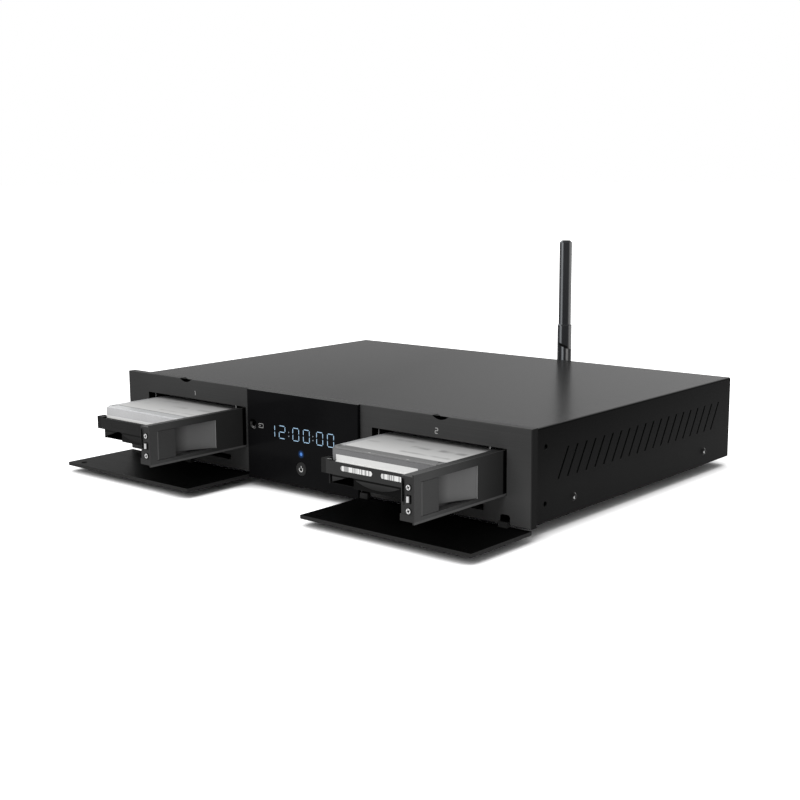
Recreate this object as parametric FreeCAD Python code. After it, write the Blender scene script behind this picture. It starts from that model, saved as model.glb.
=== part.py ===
import FreeCAD, Part
import math
import os

from FreeCAD import Vector

# Two-bay media player: a 430 mm cabinet with a display block, and two hard drive racks behind drop-down
# flaps. Shown with both flaps down, both rack doors swung open and both drive carriers drawn out.
#
# Working frame, in mm: X to the right, Y to the back, Z up. X = 0 is the middle of the display block,
# Y = 0 the front panel's face and Z = 0 its bottom edge. export() moves every piece into the part's own
# frame, whose origin is the middle of the bounding box on the surface that the feet stand on.

os.makedirs("parts", exist_ok=True)

# ---------------------------------------------------------------------------------------------------------
# Driving dimensions
# ---------------------------------------------------------------------------------------------------------
SIDES = ("left", "right")
RUNNING_FIT = 0.05            # radial clearance of a pin that turns in its bore
SLIDING_GAP = 0.3             # clearance between two pieces that move past each other
OVERCUT = 1.0                 # how far a cutting tool reaches past the surface it cuts

# Drive, a standard 3.5 inch unit
DRIVE_WIDTH = 101.6
DRIVE_LENGTH = 147.0
DRIVE_HEIGHT = 26.1
DRIVE_CORNER = 4.0
DRIVE_OUT = 53.0              # how far the drawn-out drive stands in front of the panel
CARRIER_TRAVEL = 74.5
LID_SHEET = 1.2
LID_INSET = 1.0
LID_REAR_INSET = 4.0
LID_SCREW_RECESS = 2.6
LID_SCREW_INSET = (4.5, 7.0)
BOARD_SHEET = 1.2
BOARD_SIDE = 6.0
BOARD_FRONT = 30.0
BOARD_GAP = 0.5
DRIVE_SCREW_RADIUS = 1.6
DRIVE_SCREW_DEPTH = 4.0
DRIVE_SCREW_RISE = 6.35
DRIVE_SCREW_Y = (28.5, 88.0, 130.0)
SATA_INSET = 31.9             # middle of the plug from the drive's left side
SATA_WIDTH = 42.0
SATA_HEIGHT = 5.0
SATA_DEPTH = 7.0
SATA_RISE = 2.2               # from the drive's underside to the plug

# Bay opening: positions along its width are measured from its left edge
DRIVE_MARGIN = 6.1            # from the opening's left edge to the drive
DRIVE_TO_DOOR = 3.3
DOOR_SIDE_GAP = 0.7
BAY_LOW = 20.2
FLOOR_DROP = 0.6              # the cage's floor lies this far below the opening's lower edge,
CEILING_RISE = 0.6            # and its ceiling this far above the upper one
DRIVE_RISE = 3.1              # from the cage's floor to the drive's underside
DRIVE_HEADROOM = 4.6          # from the drive's top to the opening's upper edge
SERVICE_SLOT_INSET = 19.5     # slot below the opening
SERVICE_SLOT_DROP = 8.7
SERVICE_SLOT_HEIGHT = 4.3

# Front panel, from left to right: end, left bay, gap, display block, gap, right bay, end
PANEL_LEFT_END = 27.0
LEFT_BAY_GAP = 5.0
DISPLAY_WIDTH = 120.0
RIGHT_BAY_GAP = 11.5
PANEL_RIGHT_END = 20.5
PANEL_BROW = 16.0             # from the opening's upper edge to the panel's top
PANEL_THICK = 7.0
PANEL_EDGE = 0.5              # broken front edges
NOTCH_RADIUS = 11.8           # half-moon finger notches in the top edge
NOTCH_RISE = 9.1              # the notch's centre lies this far above the top edge
NOTCH_FROM_END = {"left": 76.4, "right": 78.8}
PANEL_SCREW = 1.5
PANEL_SCREW_DEPTH = 5.0
PANEL_SCREW_HEAD = 2.8
PANEL_SCREW_END = 14.5        # from the panel's end
PANEL_SCREW_SIDE = 3.0        # from the display block's side
PANEL_SCREW_Z = (14.0, 60.0)

# Display block
DISPLAY_PROUD = 3.0
DISPLAY_OVERHANG = 3.0        # how far it reaches below the panel
DISPLAY_EDGE = 0.3
TUBE_MARGIN = 14.0            # from the block's side to the tube's opening
TUBE_HEIGHT = 26.0
TUBE_Z = 38.5
TUBE_GAP = 0.5
TUBE_EDGE = 1.0
JACK_INSET = 6.4
JACK_Z = 41.4
JACK_BORE = 1.8
JACK_RING = 4.1
JACK_BODY = 3.5
JACK_PROUD = 0.3
JACK_SHOULDER = 1.0           # depth behind the panel's face where the ring ends
JACK_SINK = 0.7               # depth of the countersink round the bore
JACK_SINK_RIM = 1.4
JACK_WALL = 1.0
LED_Z = 23.7
LED_RADIUS = 1.3
LED_SINK = 0.1
LAMP_FRONT = 4.0
LAMP_RIM = 0.3
BUTTON_Z = 11.9
BUTTON_RADIUS = 5.4
BUTTON_PROUD = 0.4
BUTTON_EDGE = 0.3
BUTTON_COLLAR = 1.2           # how far the collar stands out round the cap
BUTTON_BACK = 1.4
BUTTON_STEM = 1.6
BUTTON_STEM_LENGTH = 2.0
BUTTON_TRAVEL = 0.8
SWITCH_HALF = 3.0
DISPLAY_BOARD = 1.6
DISPLAY_BOARD_GAP = 1.8       # between the panel and the board
DISPLAY_BOARD_LOW = 3.0
DISPLAY_BOARD_INSET = (2.0, 8.0)
DISPLAY_SPACER = 2.6
DISPLAY_SPACER_INSET = 3.5
DISPLAY_SPACER_RISE = 5.0
DRIVER_CHIP = (44.0, 2.2, 16.0)

# Cabinet behind the panel
SIDE_STEP = 6.5               # the panel reaches this far past the cabinet's sides,
TOP_STEP = 2.7                # and this far above its top
BODY_BOTTOM = -1.4
COVER_SHEET = 1.0
COVER_BEND = 1.5
BASE_SHEET = 1.2
FLANGE_HEIGHT = 22.0
FLANGE_GAP = 2.7              # from the front flange's upper edge to the cabinet's top
EAR_TAB = 12.0                # the tall part of the side flange behind the ear holes
VENT_FIRST_Y = 41.3           # lower end of the first slanted vent
VENT_END = 19.3               # plain strip behind the last vent
VENT_PITCH = 12.06
VENT_LOW_Z = 26.6
VENT_DROP = 18.3              # from the cabinet's top to the vents' upper ends
VENT_LEAN = 12.8              # how far a vent's top lies behind its foot
VENT_SLOT = 2.2
COVER_SCREW_FRONT = 62.9
COVER_SCREW_BACK = 45.0       # from the rear face
COVER_SCREW_Z = 10.0
COVER_SCREW_HEAD = 3.2
COVER_SCREW_RISE = 1.6
COVER_SCREW_CROWN = 0.55        # width of the head's flat top over its own
COVER_SCREW_SHANK = 1.5
COVER_SCREW_LENGTH = 6.0
COVER_SCREW_SOCKET = (1.0, 0.8)
EAR_HOLE_Y = 26.5             # threaded holes for rack ears, one above the other
EAR_HOLE_LOW = 11.7
EAR_HOLE_DROP = 14.4          # from the cabinet's top
EAR_HOLE_RADIUS = 2.0
EAR_HOLE_ROOM = 1.5           # extra room in the flange behind an ear hole

# Feet
FOOT_HEIGHT = 8.0
FOOT_RADIUS = 19.0
FOOT_INSET = 50.0
FOOT_FRONT = 56.0
FOOT_BACK = 43.0              # from the rear face
FOOT_SCREW = 1.6
FOOT_SCREW_HEAD = 3.4
FOOT_SCREW_DEPTH = 5.0
SCREW_HEAD = 1.8              # thickness of the pan heads

# Drop-down flaps
FLAP_THICK = 3.0
FLAP_GAP = 1.5                # between the display block and a flap
FLAP_REACH = 67.0             # how far the open flap stands out in front of the panel
FLAP_TUCK = 1.0               # how far its rear edge reaches under the panel
FLAP_TOP = -1.3               # level of the open flap's inner face
FLAP_EDGE = 0.4
FLAP_PIVOT_Y = 1.9
FLAP_PIVOT_Z = 1.1
FLAP_PIN = 0.6
FLAP_PIN_LENGTH = 16.0
LUG_WIDTH = 7.4
LUG_RADIUS = 1.7
LUG_PROUD = 3.0               # how far the lugs reach in front of the panel
LUG_LEAN = 0.4                # slope of the lug's front face
LUG_END = 21.5                # outer lug from the panel's end
LUG_LEFT_SECOND = 58.5        # from there to the left flap's second lug
LUG_RIGHT_INNER = 5.4         # right flap's inner lug from the display block
LUG_SLOT_GAP = 0.5
LUG_SLOT_TOP = 7.2
LUG_SLOT_CORNER = 1.3
PAD_RADIUS = 2.2
PAD_THICK = 0.3
PAD_INSET = (12.0, 7.2)

# Rack cage
CAGE_SHEET = 1.0
CAGE_FRONT = 7.4
CAGE_LEFT = 0.4               # inner face of the left wall
CAGE_RIGHT_ROOM = 0.5         # from the opening's right edge to the inner face of the right wall
CAGE_BACK_ROOM = 4.9          # from the pushed-in drive to the cage's rear
CAGE_ROOM = 1.0               # free space round the cage in the flange's cut-out
FLANGE_CUT = 3.0              # depth of the flange's cut-outs
GUIDE_FRONT = 26.0
GUARD_INSET = 4.9             # strip that hangs from the ceiling over the drive's right edge
GUARD_GAP = 0.6
RAIL_SHELF = 2.0              # how far the floor rails reach under the drive
RAIL_LIP = 1.2                # thickness of the lips above and below the runner
CATCH_HALF = (2.2, 3.0)       # opening for the latch tongue in the left wall
PLUG_CUT_MARGIN = 4.0
PLUG_CUT = (3.0, 16.0)
ISOLATOR_LEFT = 14.0
ISOLATOR_RIGHT = 6.5          # from the right wall
ISOLATOR_FRONT = 30.0
ISOLATOR_BACK = 27.4          # from the cage's rear
ISOLATOR_RADIUS = 6.5
ISOLATOR_WAIST = 4.5
ISOLATOR_NECK = 3.0
ISOLATOR_BUTTON = 4.2
ISOLATOR_BUTTON_HEIGHT = 1.0
ISOLATOR_SCREW = 1.5
ISOLATOR_SCREW_HEAD = 2.9
ISOLATOR_SCREW_DEPTH = 6.0
BACKPLANE_SHEET = 1.6
BACKPLANE_INSET = 2.0

# Rack door, standing open at a right angle to the panel
DOOR_PIVOT_Y = 14.5
DOOR_TAIL = 8.9               # radius of the rounded tail about the pivot
DOOR_INNER = 2.4              # from the pivot to the inner face
DOOR_END_GAP = 0.7            # between the shut door's free end and the opening's left edge
DOOR_LOW_GAP = 0.4
DOOR_HIGH_GAP = 0.6
DOOR_RIM = 1.3                # thickness of the outer plate
DOOR_RIM_LOW = 1.2            # the outer plate overhangs the body by this much below,
DOOR_RIM_HIGH = 1.6           # by this much above
DOOR_RIM_FRONT = 0.8          # and by this much at the free end
DOOR_PIN = 1.25
DOOR_PIN_HEAD = 2.4
DOOR_PIN_CAP = 1.0
DOOR_SPACER = 2.7
DOOR_SPACER_GAP = 0.1
DOOR_TOE = (0.8, 0.4, 4.0, 4.4)
DOOR_POCKETS = ((-68.0, -52.0, 2.6), (-50.4, -34.0, 2.6), (-30.0, -13.0, 7.0), (-11.4, 7.0, 7.0))
DOOR_POCKET_MARGIN = 2.0
SCOOP_INSET = 6.9             # from the door's free end
SCOOP_TO = 32.0               # the scoop ends this far in front of the panel
SCOOP_LOW_RIM = 4.1
SCOOP_HIGH_RIM = 5.4
SCOOP_DEEP = 7.0
SCOOP_SHALLOW = 0.9
SCOOP_SAG = 1.6
LEVER_LENGTH = 18.4
LEVER_THICK = 2.0
LEVER_SINK = 0.2
LEVER_ROOM = 1.4              # depth left behind the lever
LEVER_BARREL = 1.1
LEVER_PIN = 0.7
LEVER_PIN_REACH = 1.4
TONGUE_INSET = 4.7            # from the door's outer face
TONGUE_WIDTH = 2.2
TONGUE_HEIGHT = 4.0
TONGUE_LENGTH = 9.0
TONGUE_PROUD = 1.6
TONGUE_BEVEL = 1.2
TONGUE_ROOM = 3.2             # free way behind the tongue
TONGUE_WINDOW = (1.9, 1.0, 3.0)
END_SLIT = (1.9, 2.6, 5.0, -4.2, 10.8)
DOOR_SCREW_SPACING = 15.4
DOOR_SCREW_SHIFT = 0.3
DOOR_SCREW = 1.0
DOOR_SCREW_LENGTH = 8.0
DOOR_SCREW_HEAD = 2.05
DOOR_SCREW_HEIGHT = 0.7
CROSS_HALF = (1.2, 0.25)
CROSS_DEPTH = 0.5

# Carrier under the drive
TRAY_FLOOR = 1.2
TRAY_ARM = 1.2
TRAY_ARM_RISE = 11.3          # from the drive's underside to the arms' top
TRAY_ARM_BACK = 19.0          # the right arm and the runner start this far behind the drive's front
TRAY_START = (2.0, 1.0)       # the floor and the left arm start this far behind it
TRAY_REAR_STEP = 12.0         # the tray ends this far in front of the drive's rear
RUNNER_WIDTH = 2.0
RUNNER_HEIGHT = 3.5
BAR_LEFT = 1.9
BAR_RIGHT_INSET = 0.2
BAR_AHEAD = 3.6               # from the drive's front to the bar's front
BAR_THICK = 3.3
BAR_RISE = 7.3                # from the drive's underside to the bar's lower edge
BAR_HEIGHT = 9.4
BAR_SLOT_SHIFT = 2.5          # the slots' middle lies this far left of the drive's
BAR_SLOT_SPACE = 6.9
BAR_SLOT_LENGTH = 30.6
BAR_SLOT_HEIGHT = 5.2
BAR_SLOT_RISE = 5.9
EAR_WIDTH = 8.0
EAR_RISE = 1.0
HOOK = (10.6, 26.6, 5.4)      # start and end from the bar's left end, and depth
SMILE_RADIUS = 50.0
SMILE_DROP = 5.9
SMILE_SETBACK = 0.5
SMILE_LIP = 3.0
TRAY_WINDOWS = 3              # openings in the tray's floor, for weight and air
TRAY_WINDOW = 30.0
TRAY_WINDOW_FIRST = 16.0
TRAY_WINDOW_PITCH = 38.0
TRAY_WINDOW_SIDE = 14.0

# Antenna on the rear face
ANTENNA_X = 31.6
ANTENNA_Z = 44.0
ANTENNA_AXIS = 14.0           # distance of the upright mast from the rear face
ANTENNA_TOP = 177.0
ANTENNA_STEP = 97.9           # level of the step in the sleeve
ANTENNA_FOOT_RADIUS = 6.6
ANTENNA_FOOT_TAPER = (1.2, 6.0)
ANTENNA_TIP_RADIUS = 5.8
ANTENNA_TIP_EDGE = 1.8
MAST_RISE = 9.0               # from the knuckle's axis to the mast's foot
SMA_RADIUS = 3.1
SMA_LENGTH = (8.0, 5.6)       # inside and outside the rear face
SMA_NUT = (4.0, 2.2)
SMA_WASHER = (4.4, 1.6)
KNUCKLE_RADIUS = 5.2
KNUCKLE_SLEEVE = (2.6, 5.9, 8.6)
KNUCKLE_CHEEK = 2.4
KNUCKLE_EYE = 4.6
KNUCKLE_PIN = 1.4
TONGUE_EYE = 4.4
TONGUE_HALF = 2.1
TONGUE_STEM = 3.6

# Boards inside
BACK_ROOM = 12.6              # from the cages' rear to the boards
BOARD_RISE = 6.0
BOARD_THICK = 1.6
POST_RADIUS = 3.0
POST_INSET = 6.0
MAIN_BOARD_X = (-150.0, 70.0)
MAIN_BOARD_DEPTH = 114.0
MAIN_BOARD_REAR_GAP = 5.0
MAIN_POST_REAR = 12.0
CHIP = (-40.0, 50.0, 14.0, 2.0)  # X, distance behind the board's front, half width, height
CAPACITOR = (14.0, 12.0, 12.0, 4.0, 10.0)
CAPACITORS = 4
SINK_HALF = 26.0
SINK_BASE = 3.0
SINK_HEIGHT = 22.0
FIN_THICK = 1.4
FIN_COUNT = 9
SUPPLY_INSET = 8.5            # from the cabinet's right side
SUPPLY_WIDTH = 112.0
SUPPLY_REAR_GAP = 19.0
SUPPLY_POST_REAR = 6.0
TRANSFORMER = (20.0, 34.0, 30.0, 36.0, 30.0)
BULK_CAPACITOR = (80.0, 40.0, 11.0, 32.0)
SUPPLY_SINK = (8.0, 3.0, 20.0, 60.0, 26.0)

# Sockets in the rear panel
SOCKET_PROUD = 0.4
SOCKET_WALL = 0.6
HDMI_X = (-130.0, -108.0)
HDMI = (15.0, 6.0, 12.0)      # width, height and depth of a socket's shell
HDMI_TONGUE = (11.0, 2.0, 1.2)
USB_X = (-84.0, -66.0)
USB = (14.0, 7.4, 17.0)
USB_TONGUE = (11.6, 3.6, 1.6)
TONGUE_SINK = 1.0
LAN_X = -42.0
LAN = (16.5, 14.0, 20.0)
LAN_MOUTH = (11.8, 2.2, 7.0, 14.0)
LAN_STEP = (6.0, 2.6)
OPTICAL_X = -22.0
OPTICAL = (10.5, 10.5, 14.0)
OPTICAL_MOUTH = (6.0, 2.4, 6.0, 8.0)
AUDIO_X = (-4.0, 12.0)
AUDIO_BLOCK = (12.0, 15.0, 14.0)
AUDIO_RISE = 8.0
PHONO_NECK = 3.6
PHONO_NUT = (4.6, 0.8)
PHONO_START = 1.3             # the barrel starts this far behind the rear face
PHONO_END = 8.5
PHONO_RADIUS = 4.1
PHONO_BORE = 1.7
INLET_INSET = 78.5            # from the cabinet's right side
INLET_Z = 30.0
INLET_WIDTH = 24.2
INLET_HEIGHT = 16.6
INLET_CORNER = 4.0
INLET_WALL = 1.4
INLET_DEEP = 16.0
INLET_BODY = 20.0
INLET_PLATE = (15.0, 11.0)
INLET_FLANGE = 2.0
INLET_EAR_X = 20.0
INLET_EAR = 5.0
INLET_SCREW = 1.6
INLET_SCREW_HEAD = (2.7, 1.6)
INLET_SCREW_LENGTH = 5.0
BLADE = (1.0, 2.0, 2.0)
BLADES = ((-7.0, -2.0), (7.0, -2.0), (0.0, 2.0))
ROCKER_INSET = 36.5
ROCKER_HALF_X = 4.4
ROCKER_HALF_Z = 8.6
ROCKER_ROOT = 6.0
ROCKER_TILT = 8.0
ROCKER_AXIS_DEPTH = 1.0
ROCKER_AXLE = 0.9
ROCKER_CREST = (1.0, 1.3)
ROCKER_BASE = 2.6
SWITCH_PLATE = (7.5, 12.0, 1.4)
SWITCH_BODY = (6.0, 10.4, 12.0)
SWITCH_WELL = (0.4, 0.6, 7.5)
AXLE_REACH = 5.4
REAR_VENTS = 8
REAR_VENT_INSET = 22.5
REAR_VENT_PITCH = 7.0
REAR_VENT_Z = (20.0, 48.0)
REAR_VENT_WIDTH = 2.8
REAR_LIP = (2.0, 10.0)

# Values that follow from those above
DRIVE_LEFT = DRIVE_MARGIN
DRIVE_RIGHT = DRIVE_LEFT + DRIVE_WIDTH
DOOR_INNER_X = DRIVE_RIGHT + DRIVE_TO_DOOR
DOOR_PIVOT_X = DOOR_INNER_X + DOOR_INNER
DOOR_OUTER_X = DOOR_PIVOT_X + DOOR_TAIL
BAY_WIDTH = DOOR_OUTER_X + DOOR_SIDE_GAP
CAGE_FLOOR = BAY_LOW - FLOOR_DROP
DRIVE_BASE = CAGE_FLOOR + DRIVE_RISE
DRIVE_TOP = DRIVE_BASE + DRIVE_HEIGHT
BAY_HIGH = DRIVE_TOP + DRIVE_HEADROOM
CAGE_CEILING = BAY_HIGH + CEILING_RISE
SERVICE_SLOT_HIGH = BAY_LOW - SERVICE_SLOT_DROP
SERVICE_SLOT_LOW = SERVICE_SLOT_HIGH - SERVICE_SLOT_HEIGHT
DISPLAY_LEFT = -DISPLAY_WIDTH / 2
DISPLAY_RIGHT = DISPLAY_WIDTH / 2
BAY_X = {"left": DISPLAY_LEFT - LEFT_BAY_GAP - BAY_WIDTH, "right": DISPLAY_RIGHT + RIGHT_BAY_GAP}
PANEL_LEFT = BAY_X["left"] - PANEL_LEFT_END
PANEL_RIGHT = BAY_X["right"] + BAY_WIDTH + PANEL_RIGHT_END
PANEL_HEIGHT = BAY_HIGH + PANEL_BROW
NOTCH_X = {"left": PANEL_LEFT + NOTCH_FROM_END["left"], "right": PANEL_RIGHT - NOTCH_FROM_END["right"]}
LUG_X = {"left": (PANEL_LEFT + LUG_END, PANEL_LEFT + LUG_END + LUG_LEFT_SECOND),
         "right": (DISPLAY_RIGHT + LUG_RIGHT_INNER, PANEL_RIGHT - LUG_END)}
FLAP_ENDS = {"left": (PANEL_LEFT, DISPLAY_LEFT - FLAP_GAP), "right": (DISPLAY_RIGHT + FLAP_GAP, PANEL_RIGHT)}
JACK_X = DISPLAY_LEFT + JACK_INSET
TUBE_HALF = DISPLAY_WIDTH / 2 - TUBE_MARGIN
BODY_LEFT = PANEL_LEFT + SIDE_STEP
BODY_RIGHT = PANEL_RIGHT - SIDE_STEP
BODY_TOP = PANEL_HEIGHT - TOP_STEP
INNER_LEFT = BODY_LEFT + COVER_SHEET             # inside of the cover's side walls
INNER_RIGHT = BODY_RIGHT - COVER_SHEET
INNER_TOP = BODY_TOP - COVER_SHEET
FLANGE_TOP = BODY_TOP - FLANGE_GAP
FLOOR = BODY_BOTTOM + BASE_SHEET                 # top of the base's floor sheet
FLANGE_BACK = PANEL_THICK + BASE_SHEET
DRIVE_FRONT = -DRIVE_OUT
DRIVE_REAR = DRIVE_FRONT + DRIVE_LENGTH
CAGE_REAR = DRIVE_REAR + CARRIER_TRAVEL + CAGE_BACK_ROOM
CAGE_RIGHT = BAY_WIDTH + CAGE_RIGHT_ROOM
BOARDS_FRONT = CAGE_REAR + BACK_ROOM
REAR = BOARDS_FRONT + MAIN_BOARD_DEPTH + MAIN_BOARD_REAR_GAP
DOOR_LOW = BAY_LOW + DOOR_LOW_GAP
DOOR_HIGH = BAY_HIGH - DOOR_HIGH_GAP
DOOR_REACH = DOOR_PIVOT_X - DOOR_PIVOT_Y - DOOR_END_GAP
DOOR_BODY_LOW = DOOR_LOW + DOOR_RIM_LOW
DOOR_BODY_HIGH = DOOR_HIGH - DOOR_RIM_HIGH
DOOR_MIDDLE = (DOOR_BODY_LOW + DOOR_BODY_HIGH) / 2
DOOR_END = -DOOR_REACH + DOOR_RIM_FRONT          # the body's end face
SCOOP_FROM = DOOR_REACH - SCOOP_INSET
LEVER_EDGE = SCOOP_FROM - LEVER_LENGTH
SCOOP_LOW = DOOR_LOW + SCOOP_LOW_RIM
SCOOP_HIGH = DOOR_HIGH - SCOOP_HIGH_RIM
TONGUE_X = DOOR_OUTER_X - TONGUE_INSET
TRAY_LOW = DRIVE_BASE - TRAY_FLOOR
TRAY_REAR = DRIVE_REAR - TRAY_REAR_STEP
TRAY_ARM_TOP = DRIVE_BASE + TRAY_ARM_RISE
BAR_RIGHT = DRIVE_RIGHT - BAR_RIGHT_INSET
BAR_FRONT = DRIVE_FRONT - BAR_AHEAD
BAR_LOW = DRIVE_BASE + BAR_RISE
BAR_HIGH = BAR_LOW + BAR_HEIGHT
GUIDE_X = DRIVE_RIGHT + TRAY_ARM + SLIDING_GAP   # inner face of the right guide wall
FOOT_LEVEL = BODY_BOTTOM - FOOT_HEIGHT
BOARD_Z = FLOOR + BOARD_RISE
CONNECTOR_Z = BOARD_Z + BOARD_THICK
DISPLAY_BOARD_Y = PANEL_THICK + DISPLAY_BOARD_GAP
DISPLAY_BOARD_X = (DISPLAY_LEFT + DISPLAY_BOARD_INSET[0], DISPLAY_RIGHT - DISPLAY_BOARD_INSET[1])
JACK_BOTTOM = DISPLAY_BOARD_Y - JACK_WALL
BUTTON_FACE = -DISPLAY_PROUD - BUTTON_PROUD
BUTTON_STEM_END = BUTTON_BACK + BUTTON_STEM_LENGTH
VENT_HIGH_Z = BODY_TOP - VENT_DROP
VENT_COUNT = int((REAR - VENT_END - VENT_LEAN - VENT_SLOT - VENT_FIRST_Y) / VENT_PITCH) + 1
EAR_HOLE_Z = (EAR_HOLE_LOW, BODY_TOP - EAR_HOLE_DROP)
COVER_SCREW_Y = (COVER_SCREW_FRONT, REAR - COVER_SCREW_BACK)
FOOT_CENTRES = [(x, y) for x in (PANEL_LEFT + FOOT_INSET, PANEL_RIGHT - FOOT_INSET)
                for y in (FOOT_FRONT, REAR - FOOT_BACK)]
PANEL_SCREWS = [(x, z) for x in (PANEL_LEFT + PANEL_SCREW_END, DISPLAY_LEFT - PANEL_SCREW_SIDE,
                                 DISPLAY_RIGHT + PANEL_SCREW_SIDE, PANEL_RIGHT - PANEL_SCREW_END)
                for z in PANEL_SCREW_Z]
MAIN_BOARD_REAR = REAR - MAIN_BOARD_REAR_GAP
MAIN_POSTS = [(x, y) for x in (MAIN_BOARD_X[0] + POST_INSET, MAIN_BOARD_X[1] - POST_INSET)
              for y in (BOARDS_FRONT + POST_INSET, MAIN_BOARD_REAR - MAIN_POST_REAR)]
SUPPLY_RIGHT = BODY_RIGHT - SUPPLY_INSET
SUPPLY_LEFT = SUPPLY_RIGHT - SUPPLY_WIDTH
AUDIO_Z = CONNECTOR_Z + AUDIO_RISE
INLET_X = BODY_RIGHT - INLET_INSET
ROCKER_X = BODY_RIGHT - ROCKER_INSET
ROCKER_AXIS_Y = REAR - ROCKER_AXIS_DEPTH
MAST_Y = REAR + ANTENNA_AXIS
MAST_FOOT = ANTENNA_Z + MAST_RISE
FRONT_MOST = DOOR_END - TONGUE_PROUD
REAR_MOST = MAST_Y + ANTENNA_FOOT_RADIUS
OFFSET = Vector(-(PANEL_LEFT + PANEL_RIGHT) / 2, -(FRONT_MOST + REAR_MOST) / 2, -FOOT_LEVEL)


# ---------------------------------------------------------------------------------------------------------
# Helpers
# ---------------------------------------------------------------------------------------------------------
def box(x0, x1, y0, y1, z0, z1):
    return Part.makeBox(x1 - x0, y1 - y0, z1 - z0, Vector(x0, y0, z0))


def rod_x(x0, x1, y, z, r):
    return Part.makeCylinder(r, x1 - x0, Vector(x0, y, z), Vector(1, 0, 0))


def rod_y(x, y0, y1, z, r):
    return Part.makeCylinder(r, y1 - y0, Vector(x, y0, z), Vector(0, 1, 0))


def rod_z(x, y, z0, z1, r):
    return Part.makeCylinder(r, z1 - z0, Vector(x, y, z0), Vector(0, 0, 1))


def cone_y(x, y0, y1, z, r0, r1):
    return Part.makeCone(r0, r1, y1 - y0, Vector(x, y0, z), Vector(0, 1, 0))


def prism(points, direction):
    """A closed outline of straight sides, extruded."""
    wire = Part.makePolygon([Vector(*p) for p in points + points[:1]])
    return Part.Face(wire).extrude(Vector(*direction))


def outline_prism(edges, direction):
    """A closed outline of lines and arcs, extruded."""
    return Part.Face(Part.Wire(edges)).extrude(Vector(*direction))


def line(a, b):
    return Part.makeLine(Vector(*a), Vector(*b))


def arc(a, through, b):
    return Part.Arc(Vector(*a), Vector(*through), Vector(*b)).toShape()


def corners(sides, flat):
    """Corners of a regular polygon whose flats lie at this distance from its middle."""
    reach = flat / math.cos(math.pi / sides)
    turns = [math.pi * (2 * k + 1) / sides for k in range(sides)]
    return [(reach * math.cos(t), reach * math.sin(t)) for t in turns]


def bolt_x(x0, x1, y, z, flat, sides=6):
    """Straight-sided stand-in for a small shank, head or hole; flat is the distance to its flats."""
    return prism([(x0, y + a, z + b) for a, b in corners(sides, flat)], (x1 - x0, 0, 0))


def bolt_y(x, y0, y1, z, flat, sides=6):
    return prism([(x + a, y0, z + b) for a, b in corners(sides, flat)], (0, y1 - y0, 0))


def bolt_z(x, y, z0, z1, flat, sides=6):
    return prism([(x + a, y + b, z0) for a, b in corners(sides, flat)], (0, 0, z1 - z0))


def pin_flat(radius):
    """Flats of a six-sided pin whose corners lie on this radius."""
    return radius * math.cos(math.pi / 6)


def frustum(low, high):
    """A solid with straight sides between two rings of as many corners."""
    n = len(low)
    rings = [low, high] + [[low[k - 1], low[k], high[k], high[k - 1]] for k in range(n)]
    faces = [Part.Face(Part.makePolygon([Vector(*p) for p in ring + ring[:1]])) for ring in rings]
    solid = Part.makeSolid(Part.makeShell(faces))
    if solid.Volume < 0:
        solid.reverse()
    return solid


def taper_z(x, y, z0, z1, flat0, flat1):
    return frustum([(x + a, y + b, z0) for a, b in corners(8, flat0)],
                   [(x + a, y + b, z1) for a, b in corners(8, flat1)])


def stadium_y(x0, x1, z_middle, height, y0, y1):
    """A slot with round ends, long in X, cut along Y."""
    r = height / 2
    low, high = z_middle - r, z_middle + r
    edges = [
        line((x0 + r, y0, low), (x1 - r, y0, low)),
        arc((x1 - r, y0, low), (x1, y0, z_middle), (x1 - r, y0, high)),
        line((x1 - r, y0, high), (x0 + r, y0, high)),
        arc((x0 + r, y0, high), (x0, y0, z_middle), (x0 + r, y0, low)),
    ]
    return outline_prism(edges, (0, y1 - y0, 0))


def upright_slot(x, y0, y1, z0, z1, width):
    """An upright slot with cut corners, cut along Y."""
    a, b = width / 2, width / 4
    points = [(x - b, y0, z0), (x + b, y0, z0), (x + a, y0, z0 + b), (x + a, y0, z1 - b),
              (x + b, y0, z1), (x - b, y0, z1), (x - a, y0, z1 - b), (x - a, y0, z0 + b)]
    return prism(points, (0, y1 - y0, 0))


def edges_at(shape, axis, value):
    """Edges whose middle lies at this value on the axis: 0 for X, 1 for Y, 2 for Z."""
    return [e for e in shape.Edges if abs(e.CenterOfMass[axis] - value) < 0.01]


def join(*shapes):
    whole = shapes[0]
    if len(shapes) > 1:
        whole = shapes[0].multiFuse(list(shapes[1:])).removeSplitter()
    return whole


def without(shape, *tools):
    return shape.cut(list(tools))


def group(shapes):
    return Part.makeCompound(list(shapes))


def export(name, shape):
    placed = shape.copy()
    placed.translate(OFFSET)
    placed.exportStep("parts/" + name + ".step")


# ---------------------------------------------------------------------------------------------------------
# Front panel and display block
# ---------------------------------------------------------------------------------------------------------
def lug_slot(x):
    """The slot in the panel's bottom edge that a flap lug turns in."""
    half = LUG_WIDTH / 2 + LUG_SLOT_GAP
    c = LUG_SLOT_CORNER
    y = -OVERCUT
    points = [(x - half, y, -OVERCUT), (x + half, y, -OVERCUT), (x + half, y, LUG_SLOT_TOP - c),
              (x + half - c, y, LUG_SLOT_TOP), (x - half + c, y, LUG_SLOT_TOP),
              (x - half, y, LUG_SLOT_TOP - c)]
    return prism(points, (0, PANEL_THICK + 2 * OVERCUT, 0))


def flap_pin(x):
    half = FLAP_PIN_LENGTH / 2
    return bolt_x(x - half, x + half, FLAP_PIVOT_Y, FLAP_PIVOT_Z, pin_flat(FLAP_PIN))


def service_slot(side, y0, y1):
    left = BAY_X[side]
    return box(left + SERVICE_SLOT_INSET, left + BAY_WIDTH - SERVICE_SLOT_INSET, y0, y1,
               SERVICE_SLOT_LOW, SERVICE_SLOT_HIGH)


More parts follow.
